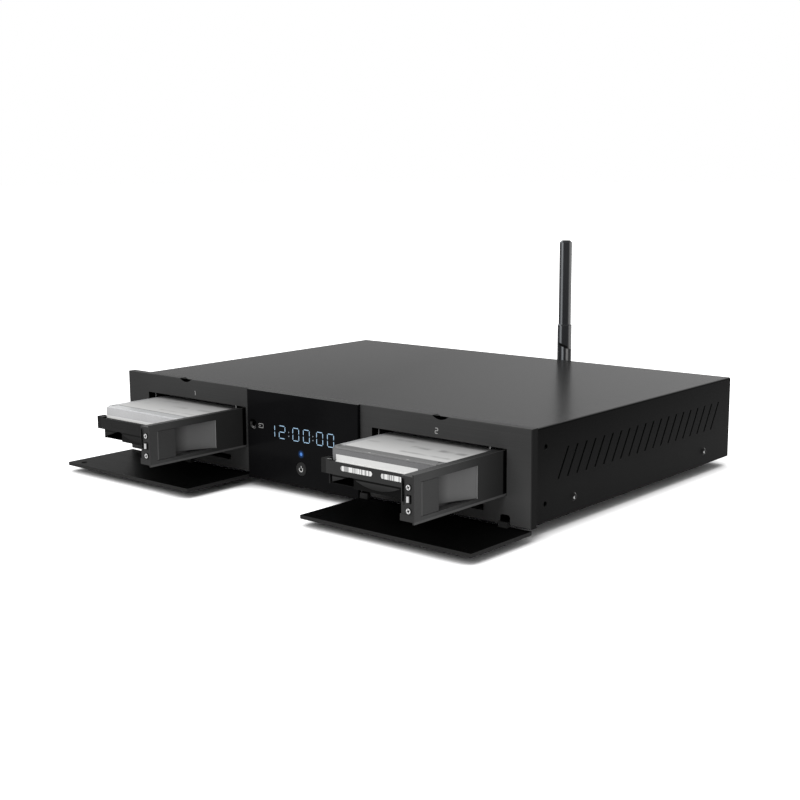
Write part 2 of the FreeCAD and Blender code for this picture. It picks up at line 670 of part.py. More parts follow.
def make_front_panel():
    panel = box(PANEL_LEFT, PANEL_RIGHT, 0, PANEL_THICK, 0, PANEL_HEIGHT)
    panel = panel.makeChamfer(PANEL_EDGE, edges_at(panel, 1, 0))
    y0, y1 = -OVERCUT, PANEL_THICK + OVERCUT
    tools = []
    for side in SIDES:
        left = BAY_X[side]
        tools.append(box(left, left + BAY_WIDTH, y0, y1, BAY_LOW, BAY_HIGH))
        tools.append(service_slot(side, y0, y1))
        tools.append(rod_y(NOTCH_X[side], y0, y1, PANEL_HEIGHT + NOTCH_RISE, NOTCH_RADIUS))
        for x in LUG_X[side]:
            tools.append(lug_slot(x))
            tools.append(flap_pin(x))
    tools.append(box(-TUBE_HALF, TUBE_HALF, y0, y1, TUBE_Z - TUBE_HEIGHT / 2, TUBE_Z + TUBE_HEIGHT / 2))
    tools.append(rod_y(JACK_X, y0, y1, JACK_Z, JACK_RING))
    tools.append(bolt_y(0, y0, y1, LED_Z, LED_RADIUS + 2 * LAMP_RIM))
    tools.append(bolt_y(0, y0, y1, BUTTON_Z, BUTTON_RADIUS + BUTTON_COLLAR + SLIDING_GAP))
    tools += [bolt_y(x, PANEL_THICK - PANEL_SCREW_DEPTH, y1, z, PANEL_SCREW) for x, z in PANEL_SCREWS]
    return without(panel, *tools)


def make_panel_screws():
    """Pan-head screws through the base's front flange into the back of the panel."""
    screws = []
    for x, z in PANEL_SCREWS:
        shank = bolt_y(x, PANEL_THICK - PANEL_SCREW_DEPTH, FLANGE_BACK, z, PANEL_SCREW)
        head = bolt_y(x, FLANGE_BACK, FLANGE_BACK + SCREW_HEAD, z, PANEL_SCREW_HEAD)
        screws.append(join(shank, head))
    return group(screws)


def make_display_window():
    window = box(DISPLAY_LEFT, DISPLAY_RIGHT, -DISPLAY_PROUD, 0, -DISPLAY_OVERHANG, PANEL_HEIGHT)
    window = window.makeChamfer(DISPLAY_EDGE, edges_at(window, 1, -DISPLAY_PROUD))
    y0, y1 = -DISPLAY_PROUD - OVERCUT, OVERCUT
    jack = rod_y(JACK_X, y0, y1, JACK_Z, JACK_RING)
    led = bolt_y(0, y0, y1, LED_Z, LED_RADIUS, 8)
    button = rod_y(0, y0, y1, BUTTON_Z, BUTTON_RADIUS + SLIDING_GAP)
    return without(window, jack, led, button)


def make_display_tube():
    """The flat display tube: glass box, its front on the window and its back on the board."""
    half_x, half_z = TUBE_HALF - TUBE_GAP, TUBE_HEIGHT / 2 - TUBE_GAP
    glass = box(-half_x, half_x, 0, DISPLAY_BOARD_Y, TUBE_Z - half_z, TUBE_Z + half_z)
    return glass.makeChamfer(TUBE_EDGE, edges_at(glass, 1, DISPLAY_BOARD_Y))


def make_display_board():
    (x0, x1), z0, z1 = DISPLAY_BOARD_X, DISPLAY_BOARD_LOW, FLANGE_TOP
    back = DISPLAY_BOARD_Y + DISPLAY_BOARD
    board = box(x0, x1, DISPLAY_BOARD_Y, back, z0, z1)
    spacers = [bolt_y(x, PANEL_THICK, DISPLAY_BOARD_Y, z, DISPLAY_SPACER)
               for x in (x0 + DISPLAY_SPACER_INSET, x1 - DISPLAY_SPACER_INSET)
               for z in (z0 + DISPLAY_SPACER_RISE, z1 - DISPLAY_SPACER_RISE)]
    width, thick, height = DRIVER_CHIP
    driver = box(-width / 2, width / 2, back, back + thick, TUBE_Z - height / 2, TUBE_Z + height / 2)
    return join(board, *spacers, driver)


def make_status_led():
    """Light pipe from the lamp on the board to the window's face."""
    pipe = bolt_y(0, -DISPLAY_PROUD + LED_SINK, LAMP_FRONT, LED_Z, LED_RADIUS, 8)
    lamp = bolt_y(0, LAMP_FRONT, DISPLAY_BOARD_Y, LED_Z, LED_RADIUS + LAMP_RIM)
    return join(pipe, lamp)


def make_front_jack():
    front = -DISPLAY_PROUD - JACK_PROUD
    ring = rod_y(JACK_X, front, JACK_SHOULDER, JACK_Z, JACK_RING)
    body = bolt_y(JACK_X, JACK_SHOULDER, DISPLAY_BOARD_Y, JACK_Z, JACK_BODY)
    bore = rod_y(JACK_X, front - OVERCUT, JACK_BOTTOM, JACK_Z, JACK_BORE)
    sink = cone_y(JACK_X, front, -DISPLAY_PROUD + JACK_SINK, JACK_Z, JACK_BORE + JACK_SINK_RIM, JACK_BORE)
    return without(join(ring, body), bore, sink)


def make_power_button():
    cap = rod_y(0, BUTTON_FACE, BUTTON_BACK, BUTTON_Z, BUTTON_RADIUS)
    cap = cap.makeChamfer(BUTTON_EDGE, edges_at(cap, 1, BUTTON_FACE))
    collar = bolt_y(0, SLIDING_GAP, BUTTON_BACK, BUTTON_Z, BUTTON_RADIUS + BUTTON_COLLAR)
    stem = bolt_y(0, BUTTON_BACK, BUTTON_STEM_END, BUTTON_Z, BUTTON_STEM)
    return join(cap, collar, stem)


def make_button_switch():
    """Tact switch on the display board, behind the button's stem."""
    front = BUTTON_STEM_END + BUTTON_TRAVEL + SLIDING_GAP
    h = SWITCH_HALF
    return box(-h, h, front, DISPLAY_BOARD_Y, BUTTON_Z - h, BUTTON_Z + h)


# ---------------------------------------------------------------------------------------------------------
# Flaps
# ---------------------------------------------------------------------------------------------------------
def make_flap(side):
    x0, x1 = FLAP_ENDS[side]
    plate = box(x0, x1, -FLAP_REACH, FLAP_TUCK, FLAP_TOP - FLAP_THICK, FLAP_TOP)
    plate = plate.makeChamfer(FLAP_EDGE, edges_at(plate, 2, FLAP_TOP - FLAP_THICK))
    pieces = [plate]
    bores = []
    top = FLAP_PIVOT_Z + LUG_RADIUS
    for x in LUG_X[side]:
        a, b = x - LUG_WIDTH / 2, x + LUG_WIDTH / 2
        barrel = rod_x(a, b, FLAP_PIVOT_Y, FLAP_PIVOT_Z, LUG_RADIUS)
        horn = prism([(a, FLAP_TUCK, FLAP_TOP), (a, -LUG_PROUD - LUG_LEAN, FLAP_TOP), (a, -LUG_PROUD, top),
                      (a, FLAP_PIVOT_Y, top), (a, FLAP_PIVOT_Y, FLAP_PIVOT_Z), (a, FLAP_TUCK, FLAP_PIVOT_Z)],
                     (LUG_WIDTH, 0, 0))
        pieces += [barrel, horn]
        bores.append(bolt_x(a - OVERCUT, b + OVERCUT, FLAP_PIVOT_Y, FLAP_PIVOT_Z, FLAP_PIN + RUNNING_FIT))
    return without(join(*pieces), *bores)


def make_flap_pins(side):
    return group(flap_pin(x) for x in LUG_X[side])


def make_flap_pads(side):
    """Magnet pads near the free corners of the flap's inner face."""
    x0, x1 = FLAP_ENDS[side]
    inset_x, inset_y = PAD_INSET
    y = -FLAP_REACH + inset_y
    return group(bolt_z(x, y, FLAP_TOP, FLAP_TOP + PAD_THICK, PAD_RADIUS, 12)
                 for x in (x0 + inset_x, x1 - inset_x))


# ---------------------------------------------------------------------------------------------------------
# Cabinet
# ---------------------------------------------------------------------------------------------------------
def isolator_centres(side):
    left = BAY_X[side]
    return [(left + u, y) for u in (ISOLATOR_LEFT, CAGE_RIGHT - ISOLATOR_RIGHT)
            for y in (ISOLATOR_FRONT, CAGE_REAR - ISOLATOR_BACK)]


def side_walls():
    """For each side wall of the cabinet: the outward direction and the X of its outer face."""
    return ((-1, BODY_LEFT), (1, BODY_RIGHT))


def along_x(direction, x, inwards, outwards):
    """X range from inwards inside a face at x to outwards outside it."""
    return tuple(sorted((x - direction * inwards, x + direction * outwards)))


def make_chassis_base():
    """Folded tray: floor, side flanges and a front flange that the panel is screwed to."""
    back = REAR - BASE_SHEET
    pieces = [box(INNER_LEFT, INNER_RIGHT, PANEL_THICK, back, BODY_BOTTOM, FLOOR),
              box(INNER_LEFT, INNER_RIGHT, PANEL_THICK, FLANGE_BACK, BODY_BOTTOM, FLANGE_TOP)]
    for x0 in (INNER_LEFT, INNER_RIGHT - BASE_SHEET):
        x1 = x0 + BASE_SHEET
        pieces.append(box(x0, x1, PANEL_THICK, back, BODY_BOTTOM, FLANGE_HEIGHT))
        pieces.append(box(x0, x1, PANEL_THICK, EAR_HOLE_Y + EAR_TAB, BODY_BOTTOM, FLANGE_TOP))
    pieces += [bolt_z(x, y, FLOOR, BOARD_Z, POST_RADIUS) for x, y in MAIN_POSTS]
    tools = []
    y0, y1 = PANEL_THICK - OVERCUT, PANEL_THICK + FLANGE_CUT
    z0, z1 = BODY_BOTTOM - OVERCUT, FLOOR + OVERCUT
    for side in SIDES:
        left = BAY_X[side]
        room = CAGE_SHEET + CAGE_ROOM
        tools.append(box(left + CAGE_LEFT - room, left + CAGE_RIGHT + room, y0, y1,
                         CAGE_FLOOR - room, CAGE_CEILING + room))
        tools.append(service_slot(side, y0, y1))
        tools += [box(x - LUG_WIDTH, x + LUG_WIDTH, y0, y1, FLOOR, LUG_SLOT_TOP) for x in LUG_X[side]]
        tools += [bolt_z(x, y, z0, z1, ISOLATOR_SCREW) for x, y in isolator_centres(side)]
    board_x0, board_x1 = DISPLAY_BOARD_X
    gap = DISPLAY_BOARD_GAP
    tools.append(box(board_x0 - gap, board_x1 + gap, y0, y1, DISPLAY_BOARD_LOW, FLANGE_TOP))
    tools += [bolt_y(x, y0, y1, z, PANEL_SCREW) for x, z in PANEL_SCREWS]
    for s, wall in side_walls():
        x0, x1 = along_x(s, wall, COVER_SHEET + BASE_SHEET + OVERCUT, 0)
        tools += [bolt_x(x0, x1, y, COVER_SCREW_Z, COVER_SCREW_SHANK) for y in COVER_SCREW_Y]
        half = EAR_HOLE_RADIUS + EAR_HOLE_ROOM
        tools += [box(x0, x1, EAR_HOLE_Y - half, EAR_HOLE_Y + half, z - half, z + half) for z in EAR_HOLE_Z]
    tools += [bolt_z(x, y, z0, z1, FOOT_SCREW) for x, y in FOOT_CENTRES]
    return without(join(*pieces), *tools)


def vent(x0, x1, index):
    """One slanted vent cut through a side wall."""
    y = VENT_FIRST_Y + index * VENT_PITCH
    points = [(x0, y, VENT_LOW_Z), (x0, y + VENT_SLOT, VENT_LOW_Z),
              (x0, y + VENT_LEAN + VENT_SLOT, VENT_HIGH_Z), (x0, y + VENT_LEAN, VENT_HIGH_Z)]
    return prism(points, (x1 - x0, 0, 0))


def make_top_cover():
    """U-shaped sheet: top and two side walls, bent with a small outer radius."""
    outer = box(BODY_LEFT, BODY_RIGHT, PANEL_THICK, REAR, BODY_BOTTOM, BODY_TOP)
    bends = [e for e in edges_at(outer, 2, BODY_TOP) if abs(e.CenterOfMass.y - PANEL_THICK) > 1
             and abs(e.CenterOfMass.y - REAR) > 1]
    outer = outer.makeFillet(COVER_BEND, bends)
    inner = box(INNER_LEFT, INNER_RIGHT, 0, REAR + OVERCUT, BODY_BOTTOM - OVERCUT, INNER_TOP)
    tools = [inner]
    for s, wall in side_walls():
        x0, x1 = along_x(s, wall, 2 * COVER_SHEET, OVERCUT)
        tools += [vent(x0, x1, i) for i in range(VENT_COUNT)]
        tools += [bolt_x(x0, x1, y, COVER_SCREW_Z, COVER_SCREW_SHANK) for y in COVER_SCREW_Y]
        tools += [rod_x(x0, x1, EAR_HOLE_Y, z, EAR_HOLE_RADIUS) for z in EAR_HOLE_Z]
    return without(outer, *tools)


def cover_screw(s, x, y):
    """A button-head screw with a hexagon socket that points inwards through a side wall."""
    z = COVER_SCREW_Z
    r = COVER_SCREW_HEAD
    head = frustum([(x, y + a, z + b) for a, b in corners(16, r)],
                   [(x + s * COVER_SCREW_RISE, y + a, z + b) for a, b in corners(16, r * COVER_SCREW_CROWN)])
    flat, floor = COVER_SCREW_SOCKET
    socket = bolt_x(*along_x(s, x, -floor, COVER_SCREW_RISE + OVERCUT), y, z, flat, 6)
    shank = bolt_x(*along_x(s, x, COVER_SCREW_LENGTH, 0), y, z, COVER_SCREW_SHANK)
    return join(without(head, socket), shank)


def inlet_screw(x):
    """Pan-head screw through an ear of the mains inlet."""
    flat, rise = INLET_SCREW_HEAD
    face = REAR + INLET_FLANGE
    head = bolt_y(x, face, face + rise, INLET_Z, flat, 12)
    return join(head, bolt_y(x, REAR - INLET_SCREW_LENGTH, face, INLET_Z, INLET_SCREW))


def inlet_ears():
    return (INLET_X - INLET_EAR_X, INLET_X + INLET_EAR_X)


def make_case_screws():
    screws = [cover_screw(s, wall, y) for s, wall in side_walls() for y in COVER_SCREW_Y]
    return group(screws + [inlet_screw(x) for x in inlet_ears()])


def make_feet():
    feet = []
    for x, y in FOOT_CENTRES:
        foot = rod_z(x, y, FOOT_LEVEL, BODY_BOTTOM, FOOT_RADIUS)
        hole = bolt_z(x, y, BODY_BOTTOM - FOOT_SCREW_DEPTH, BODY_BOTTOM + OVERCUT, FOOT_SCREW)
        feet.append(without(foot, hole))
    return group(feet)


def make_foot_screws():
    """Screws that hold the feet from inside, their heads on the base's floor."""
    screws = []
    for x, y in FOOT_CENTRES:
        shank = bolt_z(x, y, BODY_BOTTOM - FOOT_SCREW_DEPTH, FLOOR, FOOT_SCREW)
        screws.append(join(shank, bolt_z(x, y, FLOOR, FLOOR + SCREW_HEAD, FOOT_SCREW_HEAD)))
    return group(screws)


# ---------------------------------------------------------------------------------------------------------
# Rear panel and what it carries
# ---------------------------------------------------------------------------------------------------------
def socket_shell(x, size):
    """Block of a board-edge socket, standing a little proud of the rear panel."""
    width, height, depth = size
    return box(x - width / 2, x + width / 2, REAR - depth, REAR + SOCKET_PROUD,
               CONNECTOR_Z, CONNECTOR_Z + height)


def plug_socket(x, size, tongue):
    """Rectangular socket: thin shell, mouth and contact tongue."""
    width, height, depth = size
    half = width / 2 - SOCKET_WALL
    low = CONNECTOR_Z + SOCKET_WALL
    back = REAR - depth + 2 * TONGUE_SINK
    mouth = box(x - half, x + half, back, REAR + OVERCUT, low, CONNECTOR_Z + height - SOCKET_WALL)
    across, rise, thick = tongue
    blade = box(x - across / 2, x + across / 2, back - TONGUE_SINK, REAR - TONGUE_SINK,
                low + rise, low + rise + thick)
    return join(without(socket_shell(x, size), mouth), blade)


def make_hdmi_ports():
    return group(plug_socket(x, HDMI, HDMI_TONGUE) for x in HDMI_X)


def make_usb_ports():
    return group(plug_socket(x, USB, USB_TONGUE) for x in USB_X)


def socket_mouth(x, mouth):
    width, rise, height, depth = mouth
    low = CONNECTOR_Z + rise
    return box(x - width / 2, x + width / 2, REAR - depth, REAR + OVERCUT, low, low + height)


def make_lan_port():
    width, rise = LAN_STEP
    top = CONNECTOR_Z + LAN_MOUTH[1] + LAN_MOUTH[2]
    step = box(LAN_X - width / 2, LAN_X + width / 2, REAR - LAN_MOUTH[3], REAR + OVERCUT, top, top + rise)
    return without(socket_shell(LAN_X, LAN), socket_mouth(LAN_X, LAN_MOUTH), step)


def make_optical_port():
    return without(socket_shell(OPTICAL_X, OPTICAL), socket_mouth(OPTICAL_X, OPTICAL_MOUTH))


def make_audio_ports():
    """Coaxial and analogue sockets: a block on the board with a nut and a barrel each."""
    width, height, depth = AUDIO_BLOCK
    flat, nut_thick = PHONO_NUT
    inside = REAR - BASE_SHEET
    ports = []
    for x in AUDIO_X:
        block = box(x - width / 2, x + width / 2, REAR - depth, inside, CONNECTOR_Z, CONNECTOR_Z + height)
        neck = bolt_y(x, inside, REAR + PHONO_START, AUDIO_Z, PHONO_NECK)
        nut = bolt_y(x, REAR, REAR + nut_thick, AUDIO_Z, flat, 6)
        barrel = rod_y(x, REAR + PHONO_START, REAR + PHONO_END, AUDIO_Z, PHONO_RADIUS)
        bore = bolt_y(x, REAR, REAR + PHONO_END + OVERCUT, AUDIO_Z, PHONO_BORE, 8)
        ports.append(without(join(block, neck, nut, barrel), bore))
    return group(ports)


def inlet_mouth(y0, y1, grow):
    """The three-pin inlet's outline, an oblong with two cut corners, extruded in Y."""
    half_x, half_z = INLET_WIDTH / 2 + grow, INLET_HEIGHT / 2 + grow
    x0, x1 = INLET_X - half_x, INLET_X + half_x
    z0, z1 = INLET_Z - half_z, INLET_Z + half_z
    c = INLET_CORNER
    points = [(x0, y0, z0), (x1, y0, z0), (x1, y0, z1 - c), (x1 - c, y0, z1),
              (x0 + c, y0, z1), (x0, y0, z1 - c)]
    return prism(points, (0, y1 - y0, 0))


def make_power_inlet():
    """Mains inlet: flange with two ears, recess and three blades."""
    half_x, half_z = INLET_PLATE
    face = REAR + INLET_FLANGE
    flange = box(INLET_X - half_x, INLET_X + half_x, REAR, face, INLET_Z - half_z, INLET_Z + half_z)
    reach = INLET_EAR_X + INLET_EAR
    ears = stadium_y(INLET_X - reach, INLET_X + reach, INLET_Z, 2 * INLET_EAR, REAR, face)
    body = inlet_mouth(REAR - INLET_BODY, REAR, INLET_WALL)
    holes = [bolt_y(x, REAR - OVERCUT, face + OVERCUT, INLET_Z, INLET_SCREW) for x in inlet_ears()]
    shell = without(join(flange, ears, body), inlet_mouth(REAR - INLET_DEEP, face + OVERCUT, 0), *holes)
    half_w, half_h, sink = BLADE
    blades = [box(INLET_X + x - half_w, INLET_X + x + half_w, REAR - INLET_DEEP, REAR - sink,
                  INLET_Z + z - half_h, INLET_Z + z + half_h) for x, z in BLADES]
    return join(shell, *blades)


def make_switch_frame():
    half_x, half_z, thick = SWITCH_PLATE
    flange = box(ROCKER_X - half_x, ROCKER_X + half_x, REAR, REAR + thick, INLET_Z - half_z, INLET_Z + half_z)
    half_x, half_z, depth = SWITCH_BODY
    body = box(ROCKER_X - half_x, ROCKER_X + half_x, REAR - depth, REAR, INLET_Z - half_z, INLET_Z + half_z)
    gap_x, gap_z, depth = SWITCH_WELL
    half_x, half_z = ROCKER_HALF_X + gap_x, ROCKER_HALF_Z + gap_z
    well = box(ROCKER_X - half_x, ROCKER_X + half_x, REAR - depth, REAR + 2 * OVERCUT,
               INLET_Z - half_z, INLET_Z + half_z)
    axle = bolt_x(ROCKER_X - AXLE_REACH, ROCKER_X + AXLE_REACH, ROCKER_AXIS_Y, INLET_Z, pin_flat(ROCKER_AXLE))
    return join(without(join(flange, body), well), axle)


def make_rocker():
    """Rocker cap: pressed in at the top, standing proud at the bottom, on its axle."""
    a, b = ROCKER_X - ROCKER_HALF_X, ROCKER_X + ROCKER_HALF_X
    rise, crest = ROCKER_CREST
    middle = REAR + rise
    tip = middle + crest
    root = REAR - ROCKER_BASE
    low, high = INLET_Z - ROCKER_HALF_Z, INLET_Z + ROCKER_HALF_Z
    edges = [
        line((a, root, INLET_Z - ROCKER_ROOT), (a, tip, low)),
        arc((a, tip, low), (a, middle, INLET_Z), (a, tip, high)),
        line((a, tip, high), (a, root, INLET_Z + ROCKER_ROOT)),
        line((a, root, INLET_Z + ROCKER_ROOT), (a, root, INLET_Z - ROCKER_ROOT)),
    ]
    cap = outline_prism(edges, (b - a, 0, 0))
    bore = bolt_x(a - OVERCUT, b + OVERCUT, ROCKER_AXIS_Y, INLET_Z, ROCKER_AXLE + RUNNING_FIT)
    cap = without(cap, bore)
    cap.rotate(Vector(ROCKER_X, ROCKER_AXIS_Y, INLET_Z), Vector(1, 0, 0), -ROCKER_TILT)
    return cap


def rear_hole(x, size, y0, y1):
    width, height = size[:2]
    return box(x - width / 2, x + width / 2, y0, y1, CONNECTOR_Z, CONNECTOR_Z + height)


def make_rear_panel():
    y0, y1 = REAR - BASE_SHEET - OVERCUT, REAR + OVERCUT
    inset, depth = REAR_LIP
    panel = box(INNER_LEFT, INNER_RIGHT, REAR - BASE_SHEET, REAR, BODY_BOTTOM, INNER_TOP)
    lip = box(INNER_LEFT + inset, INNER_RIGHT - inset, REAR - depth, REAR - BASE_SHEET,
              INNER_TOP - BASE_SHEET, INNER_TOP)
    tools = [rear_hole(x, HDMI, y0, y1) for x in HDMI_X]
    tools += [rear_hole(x, USB, y0, y1) for x in USB_X]
    tools += [rear_hole(LAN_X, LAN, y0, y1), rear_hole(OPTICAL_X, OPTICAL, y0, y1)]
    tools += [bolt_y(x, y0, y1, AUDIO_Z, PHONO_NECK) for x in AUDIO_X]
    tools.append(inlet_mouth(y0, y1, INLET_WALL))
    tools += [bolt_y(x, y0, y1, INLET_Z, INLET_SCREW) for x in inlet_ears()]
    half_x, half_z = SWITCH_BODY[:2]
    tools.append(box(ROCKER_X - half_x, ROCKER_X + half_x, y0, y1, INLET_Z - half_z, INLET_Z + half_z))
    tools.append(rod_y(ANTENNA_X, y0, y1, ANTENNA_Z, SMA_RADIUS))
    low, high = REAR_VENT_Z
    first = BODY_LEFT + REAR_VENT_INSET
    tools += [upright_slot(first + i * REAR_VENT_PITCH, y0, y1, low, high, REAR_VENT_WIDTH)
              for i in range(REAR_VENTS)]
    return without(join(panel, lip), *tools)


# ---------------------------------------------------------------------------------------------------------
# Antenna
# ---------------------------------------------------------------------------------------------------------
def make_antenna_connector():
    """Bulkhead socket: barrel, inner washer and outer nut."""
    inside, outside = SMA_LENGTH
    barrel = rod_y(ANTENNA_X, REAR - inside, REAR + outside, ANTENNA_Z, SMA_RADIUS)
    flat, thick = SMA_NUT
    nut = bolt_y(ANTENNA_X, REAR, REAR + thick, ANTENNA_Z, flat, 6)
    flat, thick = SMA_WASHER
    face = REAR - BASE_SHEET
    washer = bolt_y(ANTENNA_X, face - thick, face, ANTENNA_Z, flat)
    return join(barrel, nut, washer)


def make_antenna_knuckle():
    """Turning sleeve on the socket, with a fork that carries the mast's tongue."""
    start, floor, end = KNUCKLE_SLEEVE
    sleeve = rod_y(ANTENNA_X, REAR + start, REAR + end, ANTENNA_Z, KNUCKLE_RADIUS)
    bore = rod_y(ANTENNA_X, REAR + start - OVERCUT, REAR + floor, ANTENNA_Z, SMA_RADIUS + RUNNING_FIT)
    half = KNUCKLE_EYE
    cheeks = []
    for x0, x1 in ((ANTENNA_X - KNUCKLE_RADIUS, ANTENNA_X - KNUCKLE_CHEEK),
                   (ANTENNA_X + KNUCKLE_CHEEK, ANTENNA_X + KNUCKLE_RADIUS)):
        cheeks.append(box(x0, x1, REAR + end - OVERCUT, MAST_Y, ANTENNA_Z - half, ANTENNA_Z + half))
        cheeks.append(rod_x(x0, x1, MAST_Y, ANTENNA_Z, half))
    pin = bolt_x(ANTENNA_X - KNUCKLE_RADIUS, ANTENNA_X + KNUCKLE_RADIUS, MAST_Y, ANTENNA_Z,
                 pin_flat(KNUCKLE_PIN))
    return join(without(sleeve, bore), *cheeks, pin)


def make_antenna_mast():
    """Tongue, tapered foot, sleeve with a step and a bevelled tip."""
    x0, x1 = ANTENNA_X - TONGUE_HALF, ANTENNA_X + TONGUE_HALF
    tongue = join(rod_x(x0, x1, MAST_Y, ANTENNA_Z, TONGUE_EYE),
                  box(x0, x1, MAST_Y - TONGUE_STEM, MAST_Y + TONGUE_STEM, ANTENNA_Z, MAST_FOOT + OVERCUT))
    tongue = without(tongue, bolt_x(x0 - OVERCUT, x1 + OVERCUT, MAST_Y, ANTENNA_Z, KNUCKLE_PIN + RUNNING_FIT))
    foot_in, foot_rise = ANTENNA_FOOT_TAPER
    r0, r1, edge = ANTENNA_FOOT_RADIUS, ANTENNA_TIP_RADIUS, ANTENNA_TIP_EDGE
    outline = [(0, MAST_FOOT), (r0 - foot_in, MAST_FOOT), (r0, MAST_FOOT + foot_rise), (r0, ANTENNA_STEP),
               (r1, ANTENNA_STEP + r0 - r1), (r1, ANTENNA_TOP - edge), (r1 - edge, ANTENNA_TOP),
               (0, ANTENNA_TOP)]
    points = [Vector(r, 0, z) for r, z in outline]
    face = Part.Face(Part.makePolygon(points + points[:1]))
    mast = face.revolve(Vector(0, 0, 0), Vector(0, 0, 1), 360)
    mast.translate(Vector(ANTENNA_X, MAST_Y, 0))
    return join(mast, tongue)


# ---------------------------------------------------------------------------------------------------------
# Electronics inside
# ---------------------------------------------------------------------------------------------------------
def make_main_board():
    x0, x1 = MAIN_BOARD_X
    board = box(x0, x1, BOARDS_FRONT, MAIN_BOARD_REAR, BOARD_Z, CONNECTOR_Z)
    cx, cy, half, height = CHIP
    cy += BOARDS_FRONT
    chip = box(cx - half, cx + half, cy - half, cy + half, CONNECTOR_Z, CONNECTOR_Z + height)
    first, pitch, back, radius, tall = CAPACITOR
    caps = [bolt_z(x0 + first + pitch * i, BOARDS_FRONT + back, CONNECTOR_Z, CONNECTOR_Z + tall, radius, 8)
            for i in range(CAPACITORS)]
    return join(board, chip, *caps)


def make_heatsink():
    cx, cy, half, height = CHIP
    cy += BOARDS_FRONT
    z = CONNECTOR_Z + height
    h = SINK_HALF
    fins = [box(cx - h, cx + h, cy - h, cy + h, z, z + SINK_BASE)]
    for i in range(FIN_COUNT):
        x = cx - h + i * (2 * h - FIN_THICK) / (FIN_COUNT - 1)
        fins.append(box(x, x + FIN_THICK, cy - h, cy + h, z + SINK_BASE, z + SINK_HEIGHT))
    return join(*fins)


def make_power_supply():
    x0, y0 = SUPPLY_LEFT, BOARDS_FRONT
    y1 = REAR - SUPPLY_REAR_GAP
    top = BOARD_Z + BOARD_THICK
    board = box(x0, SUPPLY_RIGHT, y0, y1, BOARD_Z, top)
    posts = [bolt_z(x, y, FLOOR, BOARD_Z, POST_RADIUS)
             for x in (x0 + POST_INSET, SUPPLY_RIGHT - POST_INSET)
             for y in (y0 + POST_INSET, y1 - SUPPLY_POST_REAR)]
    x, width, y, depth, height = TRANSFORMER
    transformer = box(x0 + x, x0 + x + width, y0 + y, y0 + y + depth, top, top + height)
    x, y, radius, height = BULK_CAPACITOR
    bulk = bolt_z(x0 + x, y0 + y, top, top + height, radius, 12)
    x, width, y, depth, height = SUPPLY_SINK
    sink = box(x0 + x, x0 + x + width, y0 + y, y0 + y + depth, top, top + height)
    return join(board, *posts, transformer, bulk, sink)


# ---------------------------------------------------------------------------------------------------------
# Rack: cage, isolators, backplane
# ---------------------------------------------------------------------------------------------------------
def make_cage(side):
    left = BAY_X[side]
    t = CAGE_SHEET
    x0, x1 = left + CAGE_LEFT, left + CAGE_RIGHT
    back = CAGE_REAR - t
    shell = box(x0 - t, x1 + t, CAGE_FRONT, CAGE_REAR, CAGE_FLOOR - t, CAGE_CEILING + t)
    shell = shell.cut(box(x0, x1, CAGE_FRONT - OVERCUT, back, CAGE_FLOOR, CAGE_CEILING))
    rail_top = TRAY_LOW - SLIDING_GAP
    lip = left + DRIVE_LEFT - TRAY_ARM - SLIDING_GAP
    runner_low = TRAY_ARM_TOP - RUNNER_HEIGHT - SLIDING_GAP
    runner_high = TRAY_ARM_TOP + SLIDING_GAP
    guide, guard = left + GUIDE_X, left + DRIVE_RIGHT - GUARD_INSET
    rails = [
        box(x0, left + DRIVE_LEFT + RAIL_SHELF, GUIDE_FRONT, back, CAGE_FLOOR, rail_top),
        box(left + DRIVE_RIGHT - RAIL_SHELF, guide, GUIDE_FRONT, back, CAGE_FLOOR, rail_top),
        box(guide, guide + t, GUIDE_FRONT, back, CAGE_FLOOR, CAGE_CEILING),
        box(guard, guard + t, CAGE_FRONT, back, DRIVE_TOP + GUARD_GAP, CAGE_CEILING),
        box(x0, lip, GUIDE_FRONT, back, runner_high, runner_high + RAIL_LIP),
        box(x0, lip, GUIDE_FRONT, back, runner_low - RAIL_LIP, runner_low),
    ]
    tools = [bolt_z(left + DOOR_PIVOT_X, DOOR_PIVOT_Y, CAGE_FLOOR - t - OVERCUT, CAGE_CEILING + t + OVERCUT,
                    pin_flat(DOOR_PIN))]
    tools += [bolt_z(x, y, CAGE_FLOOR - t - OVERCUT, CAGE_FLOOR + OVERCUT, ISOLATOR_NECK)
              for x, y in isolator_centres(side)]
    half_y, half_z = CATCH_HALF
    catch = DOOR_PIVOT_Y - DOOR_TAIL + TONGUE_INSET
    tools.append(box(x0 - t - OVERCUT, x0 + OVERCUT, catch - half_y, catch + half_y,
                     DOOR_MIDDLE - half_z, DOOR_MIDDLE + half_z))
    plug = SATA_WIDTH / 2 + PLUG_CUT_MARGIN
    middle = left + DRIVE_LEFT + SATA_INSET
    low, high = PLUG_CUT
    tools.append(box(middle - plug, middle + plug, back - OVERCUT, CAGE_REAR + OVERCUT,
                     CAGE_FLOOR + low, CAGE_FLOOR + high))
    return without(join(shell, *rails), *tools)


